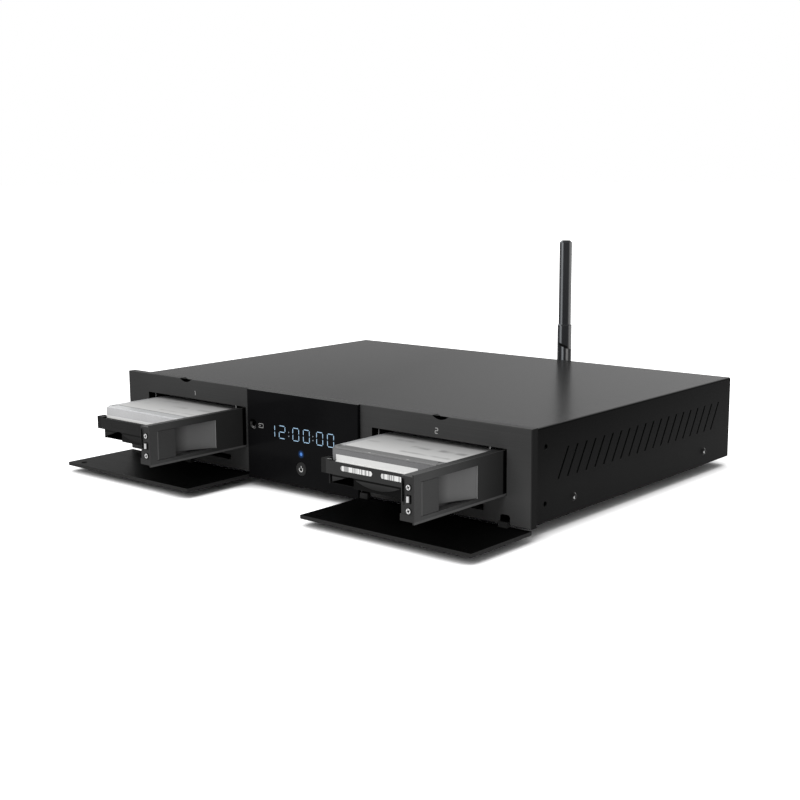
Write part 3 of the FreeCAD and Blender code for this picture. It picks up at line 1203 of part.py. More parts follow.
def make_isolators(side):
    """Waisted rubber mounts between the base and the cage, each with a button head inside the cage."""
    mounts = []
    top = CAGE_FLOOR - CAGE_SHEET
    middle = (FLOOR + top) / 2
    for x, y in isolator_centres(side):
        low = taper_z(x, y, FLOOR, middle, ISOLATOR_RADIUS, ISOLATOR_WAIST)
        high = taper_z(x, y, middle, top, ISOLATOR_WAIST, ISOLATOR_RADIUS)
        neck = bolt_z(x, y, top, CAGE_FLOOR, ISOLATOR_NECK)
        button = bolt_z(x, y, CAGE_FLOOR, CAGE_FLOOR + ISOLATOR_BUTTON_HEIGHT, ISOLATOR_BUTTON)
        hole = bolt_z(x, y, FLOOR - OVERCUT, FLOOR + ISOLATOR_SCREW_DEPTH, ISOLATOR_SCREW)
        mounts.append(without(join(low, high, neck, button), hole))
    return group(mounts)


def make_isolator_screws():
    screws = []
    for side in SIDES:
        for x, y in isolator_centres(side):
            head = bolt_z(x, y, BODY_BOTTOM - SCREW_HEAD, BODY_BOTTOM, ISOLATOR_SCREW_HEAD)
            screws.append(join(head, bolt_z(x, y, BODY_BOTTOM, FLOOR + ISOLATOR_SCREW_DEPTH, ISOLATOR_SCREW)))
    return group(screws)


def make_backplane(side):
    """Upright board on the cage's rear wall, with the plug that the drive meets when it is pushed in."""
    left = BAY_X[side]
    back = CAGE_REAR - CAGE_SHEET
    face = back - BACKPLANE_SHEET
    inset = BACKPLANE_INSET
    board = box(left + DRIVE_LEFT + inset, left + DRIVE_RIGHT - inset, face, back,
                CAGE_FLOOR + inset, DRIVE_TOP)
    x = left + DRIVE_LEFT + SATA_INSET
    low = DRIVE_BASE + SATA_RISE
    half = SATA_WIDTH / 2
    return join(board, box(x - half, x + half, face - SATA_DEPTH, face, low, low + SATA_HEIGHT))


# ---------------------------------------------------------------------------------------------------------
# Rack door, lever and latch
# ---------------------------------------------------------------------------------------------------------
def make_door(side):
    left = BAY_X[side]
    inner, outer = left + DOOR_INNER_X, left + DOOR_OUTER_X
    px, py = left + DOOR_PIVOT_X, DOOR_PIVOT_Y
    seam = outer - DOOR_RIM
    body = box(inner, seam, DOOR_END, py, DOOR_BODY_LOW, DOOR_BODY_HIGH)
    plate = box(seam, outer, -DOOR_REACH, py, DOOR_LOW, DOOR_HIGH)
    tail = rod_z(px, py, DOOR_BODY_LOW, DOOR_BODY_HIGH, DOOR_TAIL)
    tail = tail.common(box(inner, outer + OVERCUT, py, py + DOOR_TAIL + OVERCUT, DOOR_LOW, DOOR_HIGH))
    toe_in, toe_out, toe_long, toe_high = DOOR_TOE
    toe = box(inner - toe_in, seam, DOOR_END - toe_out, DOOR_END + toe_long,
              DOOR_BODY_LOW, DOOR_BODY_LOW + toe_high)
    return without(join(body, plate, tail, toe), *door_cuts(left, inner, outer))


def door_cuts(left, inner, outer):
    """Pin bore, lever bed and finger scoop, latch channel, and the openings of the end and inner faces."""
    gap, over = SLIDING_GAP, OVERCUT
    bore = bolt_z(left + DOOR_PIVOT_X, DOOR_PIVOT_Y, DOOR_LOW - over, DOOR_HIGH + over,
                  DOOR_PIN + RUNNING_FIT)
    bed_floor = outer - LEVER_THICK - LEVER_SINK - LEVER_ROOM
    bed = box(bed_floor, outer + over, -SCOOP_FROM, -LEVER_EDGE, SCOOP_LOW, SCOOP_HIGH)
    z = SCOOP_LOW
    deep, shallow = outer - SCOOP_DEEP, outer - SCOOP_SHALLOW
    sag = (deep + shallow) / 2 - SCOOP_SAG
    y_start, y_end = -LEVER_EDGE, -SCOOP_TO
    y_under = y_start - LEVER_LENGTH / 4
    scoop = outline_prism([
        line((outer + over, y_under, z), (deep, y_under, z)),
        line((deep, y_under, z), (deep, y_start, z)),
        arc((deep, y_start, z), (sag, (y_start + y_end) / 2, z), (shallow, y_end, z)),
        line((shallow, y_end, z), (outer + over, y_end, z)),
        line((outer + over, y_end, z), (outer + over, y_under, z)),
    ], (0, 0, SCOOP_HIGH - SCOOP_LOW))
    ax, ay = lever_axis(left)
    reach = LEVER_PIN_REACH + RUNNING_FIT
    trunnions = bolt_z(ax, ay, SCOOP_LOW - reach, SCOOP_HIGH + reach, LEVER_PIN + RUNNING_FIT)
    tx = left + TONGUE_X
    half_x, half_z = TONGUE_WIDTH / 2 + gap, TONGUE_HEIGHT / 2 + gap
    start = DOOR_END - over
    channel = box(tx - half_x, tx + half_x, start, DOOR_END - TONGUE_PROUD + TONGUE_LENGTH + TONGUE_ROOM,
                  DOOR_MIDDLE - half_z, DOOR_MIDDLE + half_z)
    half_x, depth, half_z = TONGUE_WINDOW
    window = box(tx - half_x, tx + half_x, start, DOOR_END + depth,
                 DOOR_MIDDLE - half_z, DOOR_MIDDLE + half_z)
    x0, x1, depth, z0, z1 = END_SLIT
    slit = box(inner + x0, inner + x1, start, DOOR_END + depth, DOOR_MIDDLE + z0, DOOR_MIDDLE + z1)
    screws = [bolt_y(x, start, DOOR_END + DOOR_SCREW_LENGTH, z, DOOR_SCREW) for x, z in door_screws(left)]
    m = DOOR_POCKET_MARGIN
    pockets = [box(inner - over, inner + depth, y0, y1, DOOR_BODY_LOW + m, DOOR_BODY_HIGH - m)
               for y0, y1, depth in DOOR_POCKETS]
    return [bore, bed, scoop, trunnions, channel, window, slit] + screws + pockets


def door_screws(left):
    x = left + TONGUE_X - DOOR_SCREW_SHIFT
    return [(x, DOOR_MIDDLE + k * DOOR_SCREW_SPACING / 2) for k in (-1, 1)]


def make_door_screws(side):
    screws = []
    front = DOOR_END - DOOR_SCREW_HEIGHT
    wide, thin = CROSS_HALF
    for x, z in door_screws(BAY_X[side]):
        head = bolt_y(x, front, DOOR_END, z, DOOR_SCREW_HEAD, 12)
        cross = [box(x - a, x + a, front - OVERCUT, front + CROSS_DEPTH, z - b, z + b)
                 for a, b in ((wide, thin), (thin, wide))]
        shank = bolt_y(x, DOOR_END, DOOR_END + DOOR_SCREW_LENGTH, z, DOOR_SCREW)
        screws.append(join(without(head, *cross), shank))
    return group(screws)


def make_door_pin(side):
    x, y = BAY_X[side] + DOOR_PIVOT_X, DOOR_PIVOT_Y
    top = CAGE_CEILING + CAGE_SHEET
    shank = bolt_z(x, y, CAGE_FLOOR - CAGE_SHEET, top, pin_flat(DOOR_PIN))
    head = bolt_z(x, y, top, top + DOOR_PIN_CAP, DOOR_PIN_HEAD)
    spacer = bolt_z(x, y, CAGE_FLOOR, DOOR_BODY_LOW - DOOR_SPACER_GAP, DOOR_SPACER)
    return join(shank, head, spacer)


def lever_axis(left):
    clear = LEVER_BARREL + SLIDING_GAP
    return (left + DOOR_OUTER_X - LEVER_SINK - LEVER_BARREL, -SCOOP_FROM + clear)


def make_lever(side):
    """Flush pull plate, hinged along its front edge, free edge over the finger scoop."""
    left = BAY_X[side]
    ax, ay = lever_axis(left)
    low, high = SCOOP_LOW + SLIDING_GAP, SCOOP_HIGH - SLIDING_GAP
    face = left + DOOR_OUTER_X - LEVER_SINK
    barrel = rod_z(ax, ay, low, high, LEVER_BARREL)
    plate = box(face - LEVER_THICK, face, ay, -LEVER_EDGE - SLIDING_GAP, low, high)
    pins = bolt_z(ax, ay, SCOOP_LOW - LEVER_PIN_REACH, SCOOP_HIGH + LEVER_PIN_REACH, pin_flat(LEVER_PIN))
    return join(barrel, plate, pins)


def make_tongue(side):
    """Latch tongue in the door's end face, with a bevelled nose."""
    x = BAY_X[side] + TONGUE_X
    y0 = DOOR_END - TONGUE_PROUD
    y1 = y0 + TONGUE_LENGTH
    a, b = x - TONGUE_WIDTH / 2, x + TONGUE_WIDTH / 2
    z0 = DOOR_MIDDLE - TONGUE_HEIGHT / 2
    return prism([(a, y0, z0), (b, y0 + TONGUE_BEVEL, z0), (b, y1, z0), (a, y1, z0)], (0, 0, TONGUE_HEIGHT))


# ---------------------------------------------------------------------------------------------------------
# Carrier and drive
# ---------------------------------------------------------------------------------------------------------
def make_carrier(side):
    """Tray with low side arms, the slotted front bar, the hook and the curved finger grip."""
    left = BAY_X[side]
    x0, x1 = left + DRIVE_LEFT, left + DRIVE_RIGHT
    floor_start, arm_start = TRAY_START
    right_start = DRIVE_FRONT + TRAY_ARM_BACK
    floor = box(x0, x1, DRIVE_FRONT + floor_start, TRAY_REAR, TRAY_LOW, DRIVE_BASE)
    left_arm = box(x0 - TRAY_ARM, x0, DRIVE_FRONT + arm_start, TRAY_REAR, TRAY_LOW, TRAY_ARM_TOP)
    right_arm = box(x1, x1 + TRAY_ARM, right_start, TRAY_REAR, TRAY_LOW, TRAY_ARM_TOP)
    runner = box(x0 - TRAY_ARM - RUNNER_WIDTH, x0 - TRAY_ARM, right_start, TRAY_REAR,
                 TRAY_ARM_TOP - RUNNER_HEIGHT, TRAY_ARM_TOP)
    bar_x0 = left + BAR_LEFT
    bar = box(bar_x0, left + BAR_RIGHT, BAR_FRONT, BAR_FRONT + BAR_THICK, BAR_LOW, BAR_HIGH)
    ear = box(bar_x0, bar_x0 + EAR_WIDTH, BAR_FRONT, DRIVE_FRONT + DRIVE_CORNER, BAR_LOW, BAR_HIGH + EAR_RISE)
    ear = without(ear, box(x0, x1, DRIVE_FRONT, DRIVE_REAR, DRIVE_BASE, DRIVE_TOP))
    hook_from, hook_to, hook_drop = HOOK
    hook = prism([(bar_x0 + hook_from, BAR_FRONT, BAR_LOW),
                  (bar_x0 + hook_from, BAR_FRONT, BAR_LOW - hook_drop),
                  (bar_x0 + hook_to, BAR_FRONT, BAR_LOW)], (0, BAR_THICK, 0))
    tray = join(floor, left_arm, right_arm, runner, bar, ear, hook, smile(left))
    return without(tray, *carrier_cuts(left, x0, x1))


def bar_middle(left):
    return left + (DRIVE_LEFT + DRIVE_RIGHT) / 2 - BAR_SLOT_SHIFT


def smile(left):
    """Curved finger grip below the bar, running back to the tray's floor."""
    middle = bar_middle(left)
    half = math.sqrt(SMILE_RADIUS ** 2 - (SMILE_RADIUS - SMILE_DROP) ** 2)
    y0 = BAR_FRONT + SMILE_SETBACK
    edges = [
        line((middle + half, y0, BAR_LOW), (middle - half, y0, BAR_LOW)),
        arc((middle - half, y0, BAR_LOW), (middle, y0, BAR_LOW - SMILE_DROP), (middle + half, y0, BAR_LOW)),
    ]
    grip = outline_prism(edges, (0, BAR_THICK - SMILE_SETBACK, 0))
    chin_front = DRIVE_FRONT - TRAY_FLOOR
    chin = box(middle - half, middle + half, chin_front, DRIVE_FRONT, TRAY_LOW, BAR_LOW)
    lip = box(middle - half, middle + half, chin_front, DRIVE_FRONT + SMILE_LIP, TRAY_LOW, DRIVE_BASE)
    return join(grip, chin, lip)


def carrier_cuts(left, x0, x1):
    middle = bar_middle(left)
    y0, y1 = BAR_FRONT - OVERCUT, BAR_FRONT + BAR_THICK + OVERCUT
    half = BAR_SLOT_SPACE / 2
    z = BAR_LOW + BAR_SLOT_RISE
    cuts = [stadium_y(a, a + BAR_SLOT_LENGTH, z, BAR_SLOT_HEIGHT, y0, y1)
            for a in (middle - half - BAR_SLOT_LENGTH, middle + half)]
    for row in range(TRAY_WINDOWS):
        y = DRIVE_FRONT + TRAY_WINDOW_FIRST + row * TRAY_WINDOW_PITCH
        cuts.append(box(x0 + TRAY_WINDOW_SIDE, x1 - TRAY_WINDOW_SIDE, y, y + TRAY_WINDOW,
                        TRAY_LOW - OVERCUT, DRIVE_BASE))
    return cuts


def make_drive_body(side):
    """Cast body with cut front corners, screw holes in its sides and the connector recess at the rear."""
    left = BAY_X[side]
    x0, x1 = left + DRIVE_LEFT, left + DRIVE_RIGHT
    c = DRIVE_CORNER
    low, top = DRIVE_BASE, DRIVE_TOP - LID_SHEET
    points = [(x0 + c, DRIVE_FRONT, low), (x1 - c, DRIVE_FRONT, low), (x1, DRIVE_FRONT + c, low),
              (x1, DRIVE_REAR, low), (x0, DRIVE_REAR, low), (x0, DRIVE_FRONT + c, low)]
    body = prism(points, (0, 0, top - low))
    gap = BOARD_GAP
    half = SATA_WIDTH / 2 + gap
    middle = x0 + SATA_INSET
    plug_low = low + SATA_RISE
    tools = [box(middle - half, middle + half, DRIVE_REAR - SATA_DEPTH - LID_REAR_INSET, DRIVE_REAR + OVERCUT,
                 plug_low - gap, plug_low + SATA_HEIGHT + gap)]
    tools.append(box(x0 + BOARD_SIDE, x1 - BOARD_SIDE, DRIVE_FRONT + BOARD_FRONT, DRIVE_REAR + OVERCUT,
                     low - OVERCUT, low + BOARD_SHEET))
    z = low + DRIVE_SCREW_RISE
    for y in DRIVE_SCREW_Y:
        for a, b in ((x0 - OVERCUT, x0 + DRIVE_SCREW_DEPTH), (x1 - DRIVE_SCREW_DEPTH, x1 + OVERCUT)):
            tools.append(bolt_x(a, b, DRIVE_FRONT + y, z, DRIVE_SCREW_RADIUS, 8))
    return without(body, *tools)


def make_drive_lid(side):
    """Pressed lid, inset from the casting's edge, with six screw recesses."""
    left = BAY_X[side]
    x0, x1 = left + DRIVE_LEFT + LID_INSET, left + DRIVE_RIGHT - LID_INSET
    y0, y1 = DRIVE_FRONT + LID_INSET, DRIVE_REAR - LID_REAR_INSET
    c = DRIVE_CORNER
    z0 = DRIVE_TOP - LID_SHEET
    points = [(x0 + c, y0, z0), (x1 - c, y0, z0), (x1, y0 + c, z0), (x1, y1 - c, z0), (x1 - c, y1, z0),
              (x0 + c, y1, z0), (x0, y1 - c, z0), (x0, y0 + c, z0)]
    lid = prism(points, (0, 0, LID_SHEET))
    inset_x, inset_y = LID_SCREW_INSET
    recesses = [bolt_z(x, y, DRIVE_TOP - LID_SHEET / 3, DRIVE_TOP + OVERCUT, LID_SCREW_RECESS, 8)
                for x in (x0 + inset_x, x1 - inset_x) for y in (y0 + inset_y, (y0 + y1) / 2, y1 - inset_y)]
    return without(lid, *recesses)


def make_drive_board(side):
    left = BAY_X[side]
    inset = BOARD_SIDE + BOARD_GAP
    return box(left + DRIVE_LEFT + inset, left + DRIVE_RIGHT - inset, DRIVE_FRONT + BOARD_FRONT + BOARD_GAP,
               DRIVE_REAR - SATA_DEPTH - LID_REAR_INSET, DRIVE_BASE, DRIVE_BASE + BOARD_SHEET)


# ---------------------------------------------------------------------------------------------------------
# Write every piece
# ---------------------------------------------------------------------------------------------------------
SINGLE_PIECES = {
    "front_panel": make_front_panel,
    "front_panel_screws": make_panel_screws,
    "display_window": make_display_window,
    "display_tube": make_display_tube,
    "display_board": make_display_board,
    "status_led": make_status_led,
    "front_jack": make_front_jack,
    "power_button": make_power_button,
    "button_switch": make_button_switch,
    "chassis_base": make_chassis_base,
    "top_cover": make_top_cover,
    "case_screws": make_case_screws,
    "feet": make_feet,
    "foot_screws": make_foot_screws,
    "rear_panel": make_rear_panel,
    "hdmi_ports": make_hdmi_ports,
    "usb_ports": make_usb_ports,
    "lan_port": make_lan_port,
    "optical_port": make_optical_port,
    "audio_ports": make_audio_ports,
    "power_inlet": make_power_inlet,
    "switch_frame": make_switch_frame,
    "power_rocker": make_rocker,
    "antenna_connector": make_antenna_connector,
    "antenna_knuckle": make_antenna_knuckle,
    "antenna_mast": make_antenna_mast,
    "main_board": make_main_board,
    "heatsink": make_heatsink,
    "power_supply": make_power_supply,
    "isolator_screws": make_isolator_screws,
}
PAIRED_PIECES = {
    "flap": make_flap,
    "flap_pins": make_flap_pins,
    "flap_pads": make_flap_pads,
    "rack_cage": make_cage,
    "rack_isolators": make_isolators,
    "rack_backplane": make_backplane,
    "rack_door": make_door,
    "door_pin": make_door_pin,
    "door_screws": make_door_screws,
    "door_lever": make_lever,
    "latch_tongue": make_tongue,
    "drive_carrier": make_carrier,
    "drive_body": make_drive_body,
    "drive_lid": make_drive_lid,
    "drive_board": make_drive_board,
}

for name, make in SINGLE_PIECES.items():
    export(name, make())
for side in SIDES:
    for name, make in PAIRED_PIECES.items():
        export(side + "_" + name, make(side))
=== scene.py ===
import math

import bmesh
import bpy
from mathutils import Matrix, Vector


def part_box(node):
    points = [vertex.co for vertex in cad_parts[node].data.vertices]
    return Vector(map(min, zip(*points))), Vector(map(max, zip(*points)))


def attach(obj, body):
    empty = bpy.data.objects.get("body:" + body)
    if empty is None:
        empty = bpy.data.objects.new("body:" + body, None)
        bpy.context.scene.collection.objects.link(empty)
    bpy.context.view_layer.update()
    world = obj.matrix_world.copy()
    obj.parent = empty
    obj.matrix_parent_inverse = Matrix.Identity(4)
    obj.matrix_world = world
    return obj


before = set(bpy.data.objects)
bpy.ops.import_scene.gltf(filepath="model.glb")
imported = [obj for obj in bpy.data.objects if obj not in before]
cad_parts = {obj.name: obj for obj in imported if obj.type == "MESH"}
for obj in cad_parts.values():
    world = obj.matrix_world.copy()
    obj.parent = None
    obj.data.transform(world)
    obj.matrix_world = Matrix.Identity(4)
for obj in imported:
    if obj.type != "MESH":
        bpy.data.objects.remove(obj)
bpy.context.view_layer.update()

# The front panel gives the working frame: X = 0 at its middle, Y = 0 its front face, Z = 0 its bottom edge.
panel_low, panel_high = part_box("front_panel")
ORIGIN = Vector(((panel_low.x + panel_high.x) / 2, panel_low.y, panel_low.z))
SIDES = ("left", "right")


def at(x, y, z):
    """A point given in millimetres in the panel's frame, in metres in the part's frame."""
    return ORIGIN + Vector((x, y, z)) / 1000


def local(point):
    """The same in reverse: millimetres in the panel's frame."""
    return (point - ORIGIN) * 1000


DRIVE = {side: [local(corner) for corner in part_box(side + "_drive_body")] for side in SIDES}
DOOR = {side: [local(corner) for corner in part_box(side + "_rack_door")] for side in SIDES}
DRIVE_FRONT = DRIVE["left"][0].y
DRIVE_TOP = local(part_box("left_drive_lid")[1]).z
BAR_FRONT = local(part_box("left_drive_carrier")[0]).y
DOOR_FRONT = DOOR["left"][0].y
WINDOW_FACE = local(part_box("display_window")[0]).y
BUTTON_FACE = local(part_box("power_button")[0]).y
LED = sum((local(c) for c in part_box("status_led")), Vector()) / 2
LEVER = [local(corner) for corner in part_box("right_door_lever")]
JACK = sum((local(c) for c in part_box("front_jack")), Vector()) / 2
PANEL_TOP = local(panel_high).z
SCREWS = {side: [local(c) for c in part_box(side + "_door_screws")] for side in SIDES}

# Places and sizes that no piece's box gives, in panel millimetres.
NOTCH_X = (-138.6, 136.2)      # finger notches in the panel's top edge
NOTCH_RISE = 9.1               # from that edge up to a notch's centre
NOTCH_RADIUS = 11.78
CASE_SCREW_Y = (62.9, local(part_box("rear_panel")[1]).y - 45.0)
CASE_SCREW_Z = 10.0
LABEL_SETBACK = 10.0           # from the drive's front edge to its label
LABEL_LEFT = 5.5               # from the drive's other edges to the label
LABEL_RIGHT = 2.2
LABEL_REAR = 24.0
LABEL_CORNER = 2.0
BAR_LOW = 30.0                 # lower and upper edge of the tray's front bar
BAR_HIGH = 39.4
MAST_ACROSS = (0.78, 0.62, 0)  # level direction across the antenna's mast
MAST_CUT = (0.38, 0.30, 1.0)   # slant of the parting line at its folding joint
MAST_CUT_LEVEL = 185.7         # the line's level along that slant, and its two edges
MAST_CUT_EDGES = (184.6, 187.0)
CROSS_ARMS = ((0.87, 0.5), (-0.5, 0.87))
CROSS_HALF = 0.00022           # half the width of a screw's cross recess, in metres


def grey(level):
    """Linear value of an 8-bit grey level."""
    v = level / 255
    return v / 12.92 if v <= 0.04045 else ((v + 0.055) / 1.055) ** 2.4


def tone(r, g=None, b=None):
    if g is None:
        g = b = r
    return (grey(r), grey(g), grey(b), 1.0)


# ---------------------------------------------------------------------------------------------------------
# Materials
# ---------------------------------------------------------------------------------------------------------
class Look:
    """A procedural material on one Principled shader, with short calls for its nodes."""

    def __init__(self, name, color, rough, metallic=0.0, specular=0.5):
        self.mat = bpy.data.materials.new(name)
        self.mat.use_nodes = True
        self.tree = self.mat.node_tree
        self.shader = self.tree.nodes["Principled BSDF"]
        self.tint = color
        self.set("Base Color", color)
        self.set("Roughness", rough)
        self.set("Metallic", metallic)
        self.set("Specular IOR Level", specular)
        self.coords = self.tree.nodes.new("ShaderNodeTexCoord")

    def set(self, socket, value):
        self.shader.inputs[socket].default_value = value

    def node(self, kind, **values):
        n = self.tree.nodes.new(kind)
        for key, value in values.items():
            setattr(n, key, value)
        return n

    def link(self, a, b):
        self.tree.links.new(a, b)

    def mapped(self, scale):
        m = self.node("ShaderNodeMapping")
        m.inputs["Scale"].default_value = scale
        self.link(self.coords.outputs["Object"], m.inputs["Vector"])
        return m.outputs["Vector"]

    def noise(self, scale, detail=3.0, rough=0.55, stretch=(1, 1, 1)):
        n = self.node("ShaderNodeTexNoise")
        self.link(self.mapped(stretch), n.inputs["Vector"])
        n.inputs["Scale"].default_value = scale
        n.inputs["Detail"].default_value = detail
        n.inputs["Roughness"].default_value = rough
        return n.outputs["Fac"]

    def span(self, value, low, high, to_low=0.0, to_high=1.0):
        """value from low to high, mapped to the second range and held at its ends."""
        r = self.node("ShaderNodeMapRange")
        r.inputs["From Min"].default_value = low
        r.inputs["From Max"].default_value = high
        r.inputs["To Min"].default_value = to_low
        r.inputs["To Max"].default_value = to_high
        self.link(value, r.inputs["Value"])
        return r.outputs["Result"]

    def math(self, operation, a, b):
        m = self.node("ShaderNodeMath", operation=operation)
        for i, v in enumerate((a, b)):
            if isinstance(v, (int, float)):
                m.inputs[i].default_value = v
            else:
                self.link(v, m.inputs[i])
        return m.outputs["Value"]

    def axis(self, source, index):
        s = self.node("ShaderNodeSeparateXYZ")
        self.link(self.coords.outputs[source], s.inputs[0])
        return s.outputs[index]

    def step(self, index, value, width=0.1):
        """1 where the object's coordinate on this axis, in panel millimetres, is above value."""
        edge = at(*(value if i == index else 0 for i in range(3)))[index]
        return self.span(self.axis("Object", index), edge - width / 2000, edge + width / 2000)

    def near(self, centre, inner, outer, flat=1):
        """1 within inner and 0 beyond outer millimetres of a line through centre along one axis."""
        d = self.node("ShaderNodeVectorMath", operation="DISTANCE")
        squash = [0.0 if i == flat else 1.0 for i in range(3)]
        m = self.node("ShaderNodeVectorMath", operation="MULTIPLY")
        self.link(self.coords.outputs["Object"], m.inputs[0])
        m.inputs[1].default_value = squash
        self.link(m.outputs["Vector"], d.inputs[0])
        d.inputs[1].default_value = [a * b for a, b in zip(at(*centre), squash)]
        return self.span(d.outputs["Value"], outer / 1000, inner / 1000)

    def facing(self, index, sign=1, low=0.6, high=0.8):
        """1 where the surface faces this way along the axis."""
        return self.span(self.axis("Normal", index), sign * low, sign * high)

    def both(self, a, b):
        return self.math("MULTIPLY", a, b)

    def less(self, mask):
        return self.math("SUBTRACT", 1.0, mask)

    def ramp(self, index, low, high):
        """0 to 1 as the object's coordinate goes from low to high, in panel millimetres."""
        ends = [at(*(v if i == index else 0 for i in range(3)))[index] for v in (low, high)]
        return self.span(self.axis("Object", index), *ends)

    def patch(self, x0, x1, y0, y1, soft=1.5):
        """1 inside a soft-edged rectangle seen from above."""
        across = self.both(self.ramp(0, x0 - soft, x0 + soft), self.ramp(0, x1 + soft, x1 - soft))
        along = self.both(self.ramp(1, y0 - soft, y0 + soft), self.ramp(1, y1 + soft, y1 - soft))
        return self.both(across, along)

    def slope(self, direction, value, width):
        """1 where the coordinate along a direction, in panel millimetres, is above value."""
        edge = at(0, 0, 0).dot(Vector(direction)) + value / 1000
        return self.span(self.along("Object", direction), edge - width / 2000, edge + width / 2000)

    def satin(self, factor, value):
        """Roughness that turns to value where factor is 1. It comes after gloss."""
        socket = self.shader.inputs["Roughness"]
        kept = self.both(self.less(factor), socket.links[0].from_socket)
        self.link(self.math("ADD", kept, self.both(factor, value)), socket)

    def band(self, value, low, high, soft=0.08):
        """1 where value is between low and high, with soft edges."""
        rise = self.span(value, low - soft, low + soft)
        return self.both(rise, self.span(value, high + soft, high - soft))

    def along(self, source, direction):
        """The coordinate's part along a direction."""
        d = self.node("ShaderNodeVectorMath", operation="DOT_PRODUCT")
        self.link(self.coords.outputs[source], d.inputs[0])
        d.inputs[1].default_value = direction
        return d.outputs["Value"]

    def tinted(self, factor, color):
        """The colour so far, turned to color where factor is 1."""
        self.paint(self.mix(factor, self.tint, color))

    def mix(self, factor, a, b):
        """a where factor is 0 and b where it is 1."""
        m = self.node("ShaderNodeMix", data_type="RGBA")
        self.link(factor, m.inputs["Factor"])
        for socket, v in (("A", a), ("B", b)):
            target = [s for s in m.inputs if s.name == socket and s.type == "RGBA"][0]
            if isinstance(v, tuple):
                target.default_value = v
            else:
                self.link(v, target)
        return [s for s in m.outputs if s.type == "RGBA"][0]

    def paint(self, source):
        self.tint = source
        self.link(source, self.shader.inputs["Base Color"])

    def vary(self, value, amount):
        """Colour that swings by amount about the base as value goes from 0.3 to 0.7."""
        m = self.node("ShaderNodeVectorMath", operation="SCALE")
        if isinstance(self.tint, tuple):
            m.inputs[0].default_value = self.tint[:3]
        else:
            self.link(self.tint, m.inputs[0])
        self.link(self.span(value, 0.3, 0.7, 1 - amount, 1 + amount), m.inputs["Scale"])
        self.paint(m.outputs["Vector"])

    def gloss(self, value, low, high):
        self.link(self.span(value, 0.3, 0.7, low, high), self.shader.inputs["Roughness"])

    def bump(self, value, strength, depth):
        b = self.node("ShaderNodeBump")
        b.inputs["Strength"].default_value = strength
        b.inputs["Distance"].default_value = depth
        self.link(value, b.inputs["Height"])
        self.link(b.outputs["Normal"], self.shader.inputs["Normal"])


def brushed(name, level, specular, blotch=0.05):
    """Anodised aluminium brushed along X."""
    look = Look(name, tone(level), 0.42, 0.0, specular)
    streaks = look.noise(1.0, 4.0, 0.7, (14, 2600, 2600))
    cloud = look.noise(9.0, 2.0)
    look.vary(cloud, blotch)
    look.vary(streaks, 0.09)
    look.gloss(streaks, 0.36, 0.5)
    look.bump(streaks, 0.12, 0.00004)
    return look


def powder(name, color, rough, specular, grain=2600.0, depth=0.00004):
    """Satin powder coat or fine-grained moulding."""
    look = Look(name, color, rough, 0.0, specular)
    fine = look.noise(grain, 2.0)
    cloud = look.noise(22.0, 3.0)
    look.vary(cloud, 0.05)
    look.vary(fine, 0.07)
    look.gloss(fine, rough - 0.06, rough + 0.06)
    look.bump(fine, 0.25, depth)
    return look


def metal(name, color, rough):
    """Bare metal with fine scratches."""
    look = Look(name, color, rough, 1.0, 0.5)
    fine = look.noise(700.0, 4.0, 0.65)
    look.vary(fine, 0.06)
    look.gloss(look.noise(140.0, 3.0), rough * 0.75, rough * 1.25)
    look.bump(fine, 0.06, 0.00003)
    return look


looks = {}

PANEL_LEFT_PAINTED_SHADE = (-130.0, -215.0)     # painted shade: the panel darkens to its left end
PANEL_RIGHT_PAINTED_LIGHT = (120.0, 190.0)      # and painted light lightens it toward its right end, low down
PANEL_LOW_PAINTED_LIGHT = (60.0, 20.0)


def panel_looks():
    """The front panel, with its end faces and notches painted dark as shade, and the flaps, whose upward
    faces are painted dark as shade.
    """
    front = brushed("front_metal", 62, 0.03)
    # Painted shade toward the left end, and painted light toward the right end, low down.
    front.tinted(front.ramp(0, *PANEL_LEFT_PAINTED_SHADE), tone(54))
    lit = front.both(front.ramp(0, *PANEL_RIGHT_PAINTED_LIGHT), front.ramp(2, *PANEL_LOW_PAINTED_LIGHT))
    front.tinted(lit, tone(74))
    # Painted shade: the panel's end faces are painted near black.
    ends = front.math("MAXIMUM", front.facing(0), front.facing(0, -1))
    front.tinted(ends, tone(4))
    for x in NOTCH_X:
        # Painted shade in the notch of the top edge.
        notch = front.near((x, 0, PANEL_TOP), 6.0, 6.3)
        front.tinted(front.both(notch, front.step(1, 0.4)), tone(2))
    looks["front_metal"] = front

    flap = brushed("flap_metal", 46, 0.02, 0.04)
    # Painted shade: the flap's upward faces are painted near black.
    flap.tinted(flap.facing(2), tone(6))
    looks["flap_metal"] = flap


COVER_SIDE_PAINTED_SHADE = (20.0, 66.0)
COVER_PAINTED_HIGHLIGHT = ((1.0, 0.35, 0), 175.0, 300.0)  # direction, middle and width of the top's painted highlight


def cover_look():
    """The cover's sides are painted darker upward as shade. Its top is painted a tone of its own, is satin,
    and has a painted highlight and more metallic sheen toward the right rear corner.
    """
    cover = powder("sheet_metal", tone(27), 0.3, 0.010, 1900.0)
    # Painted shade: the sides darken upward.
    cover.tinted(cover.ramp(2, *COVER_SIDE_PAINTED_SHADE), tone(6))
    upward = cover.facing(2)
    # Painted light and shade: the top is painted a tone of its own, apart from the sides.
    cover.tinted(upward, tone(14))
    # Painted highlight on the top toward the right rear corner.
    right = cover.slope(*COVER_PAINTED_HIGHLIGHT)
    cover.tinted(cover.both(upward, right), tone(72))
    cover.satin(upward, 0.25)
    sheen = cover.math("ADD", cover.both(right, 0.07), 0.04)
    cover.link(cover.both(upward, sheen), cover.shader.inputs["Metallic"])
    looks["cover"] = cover


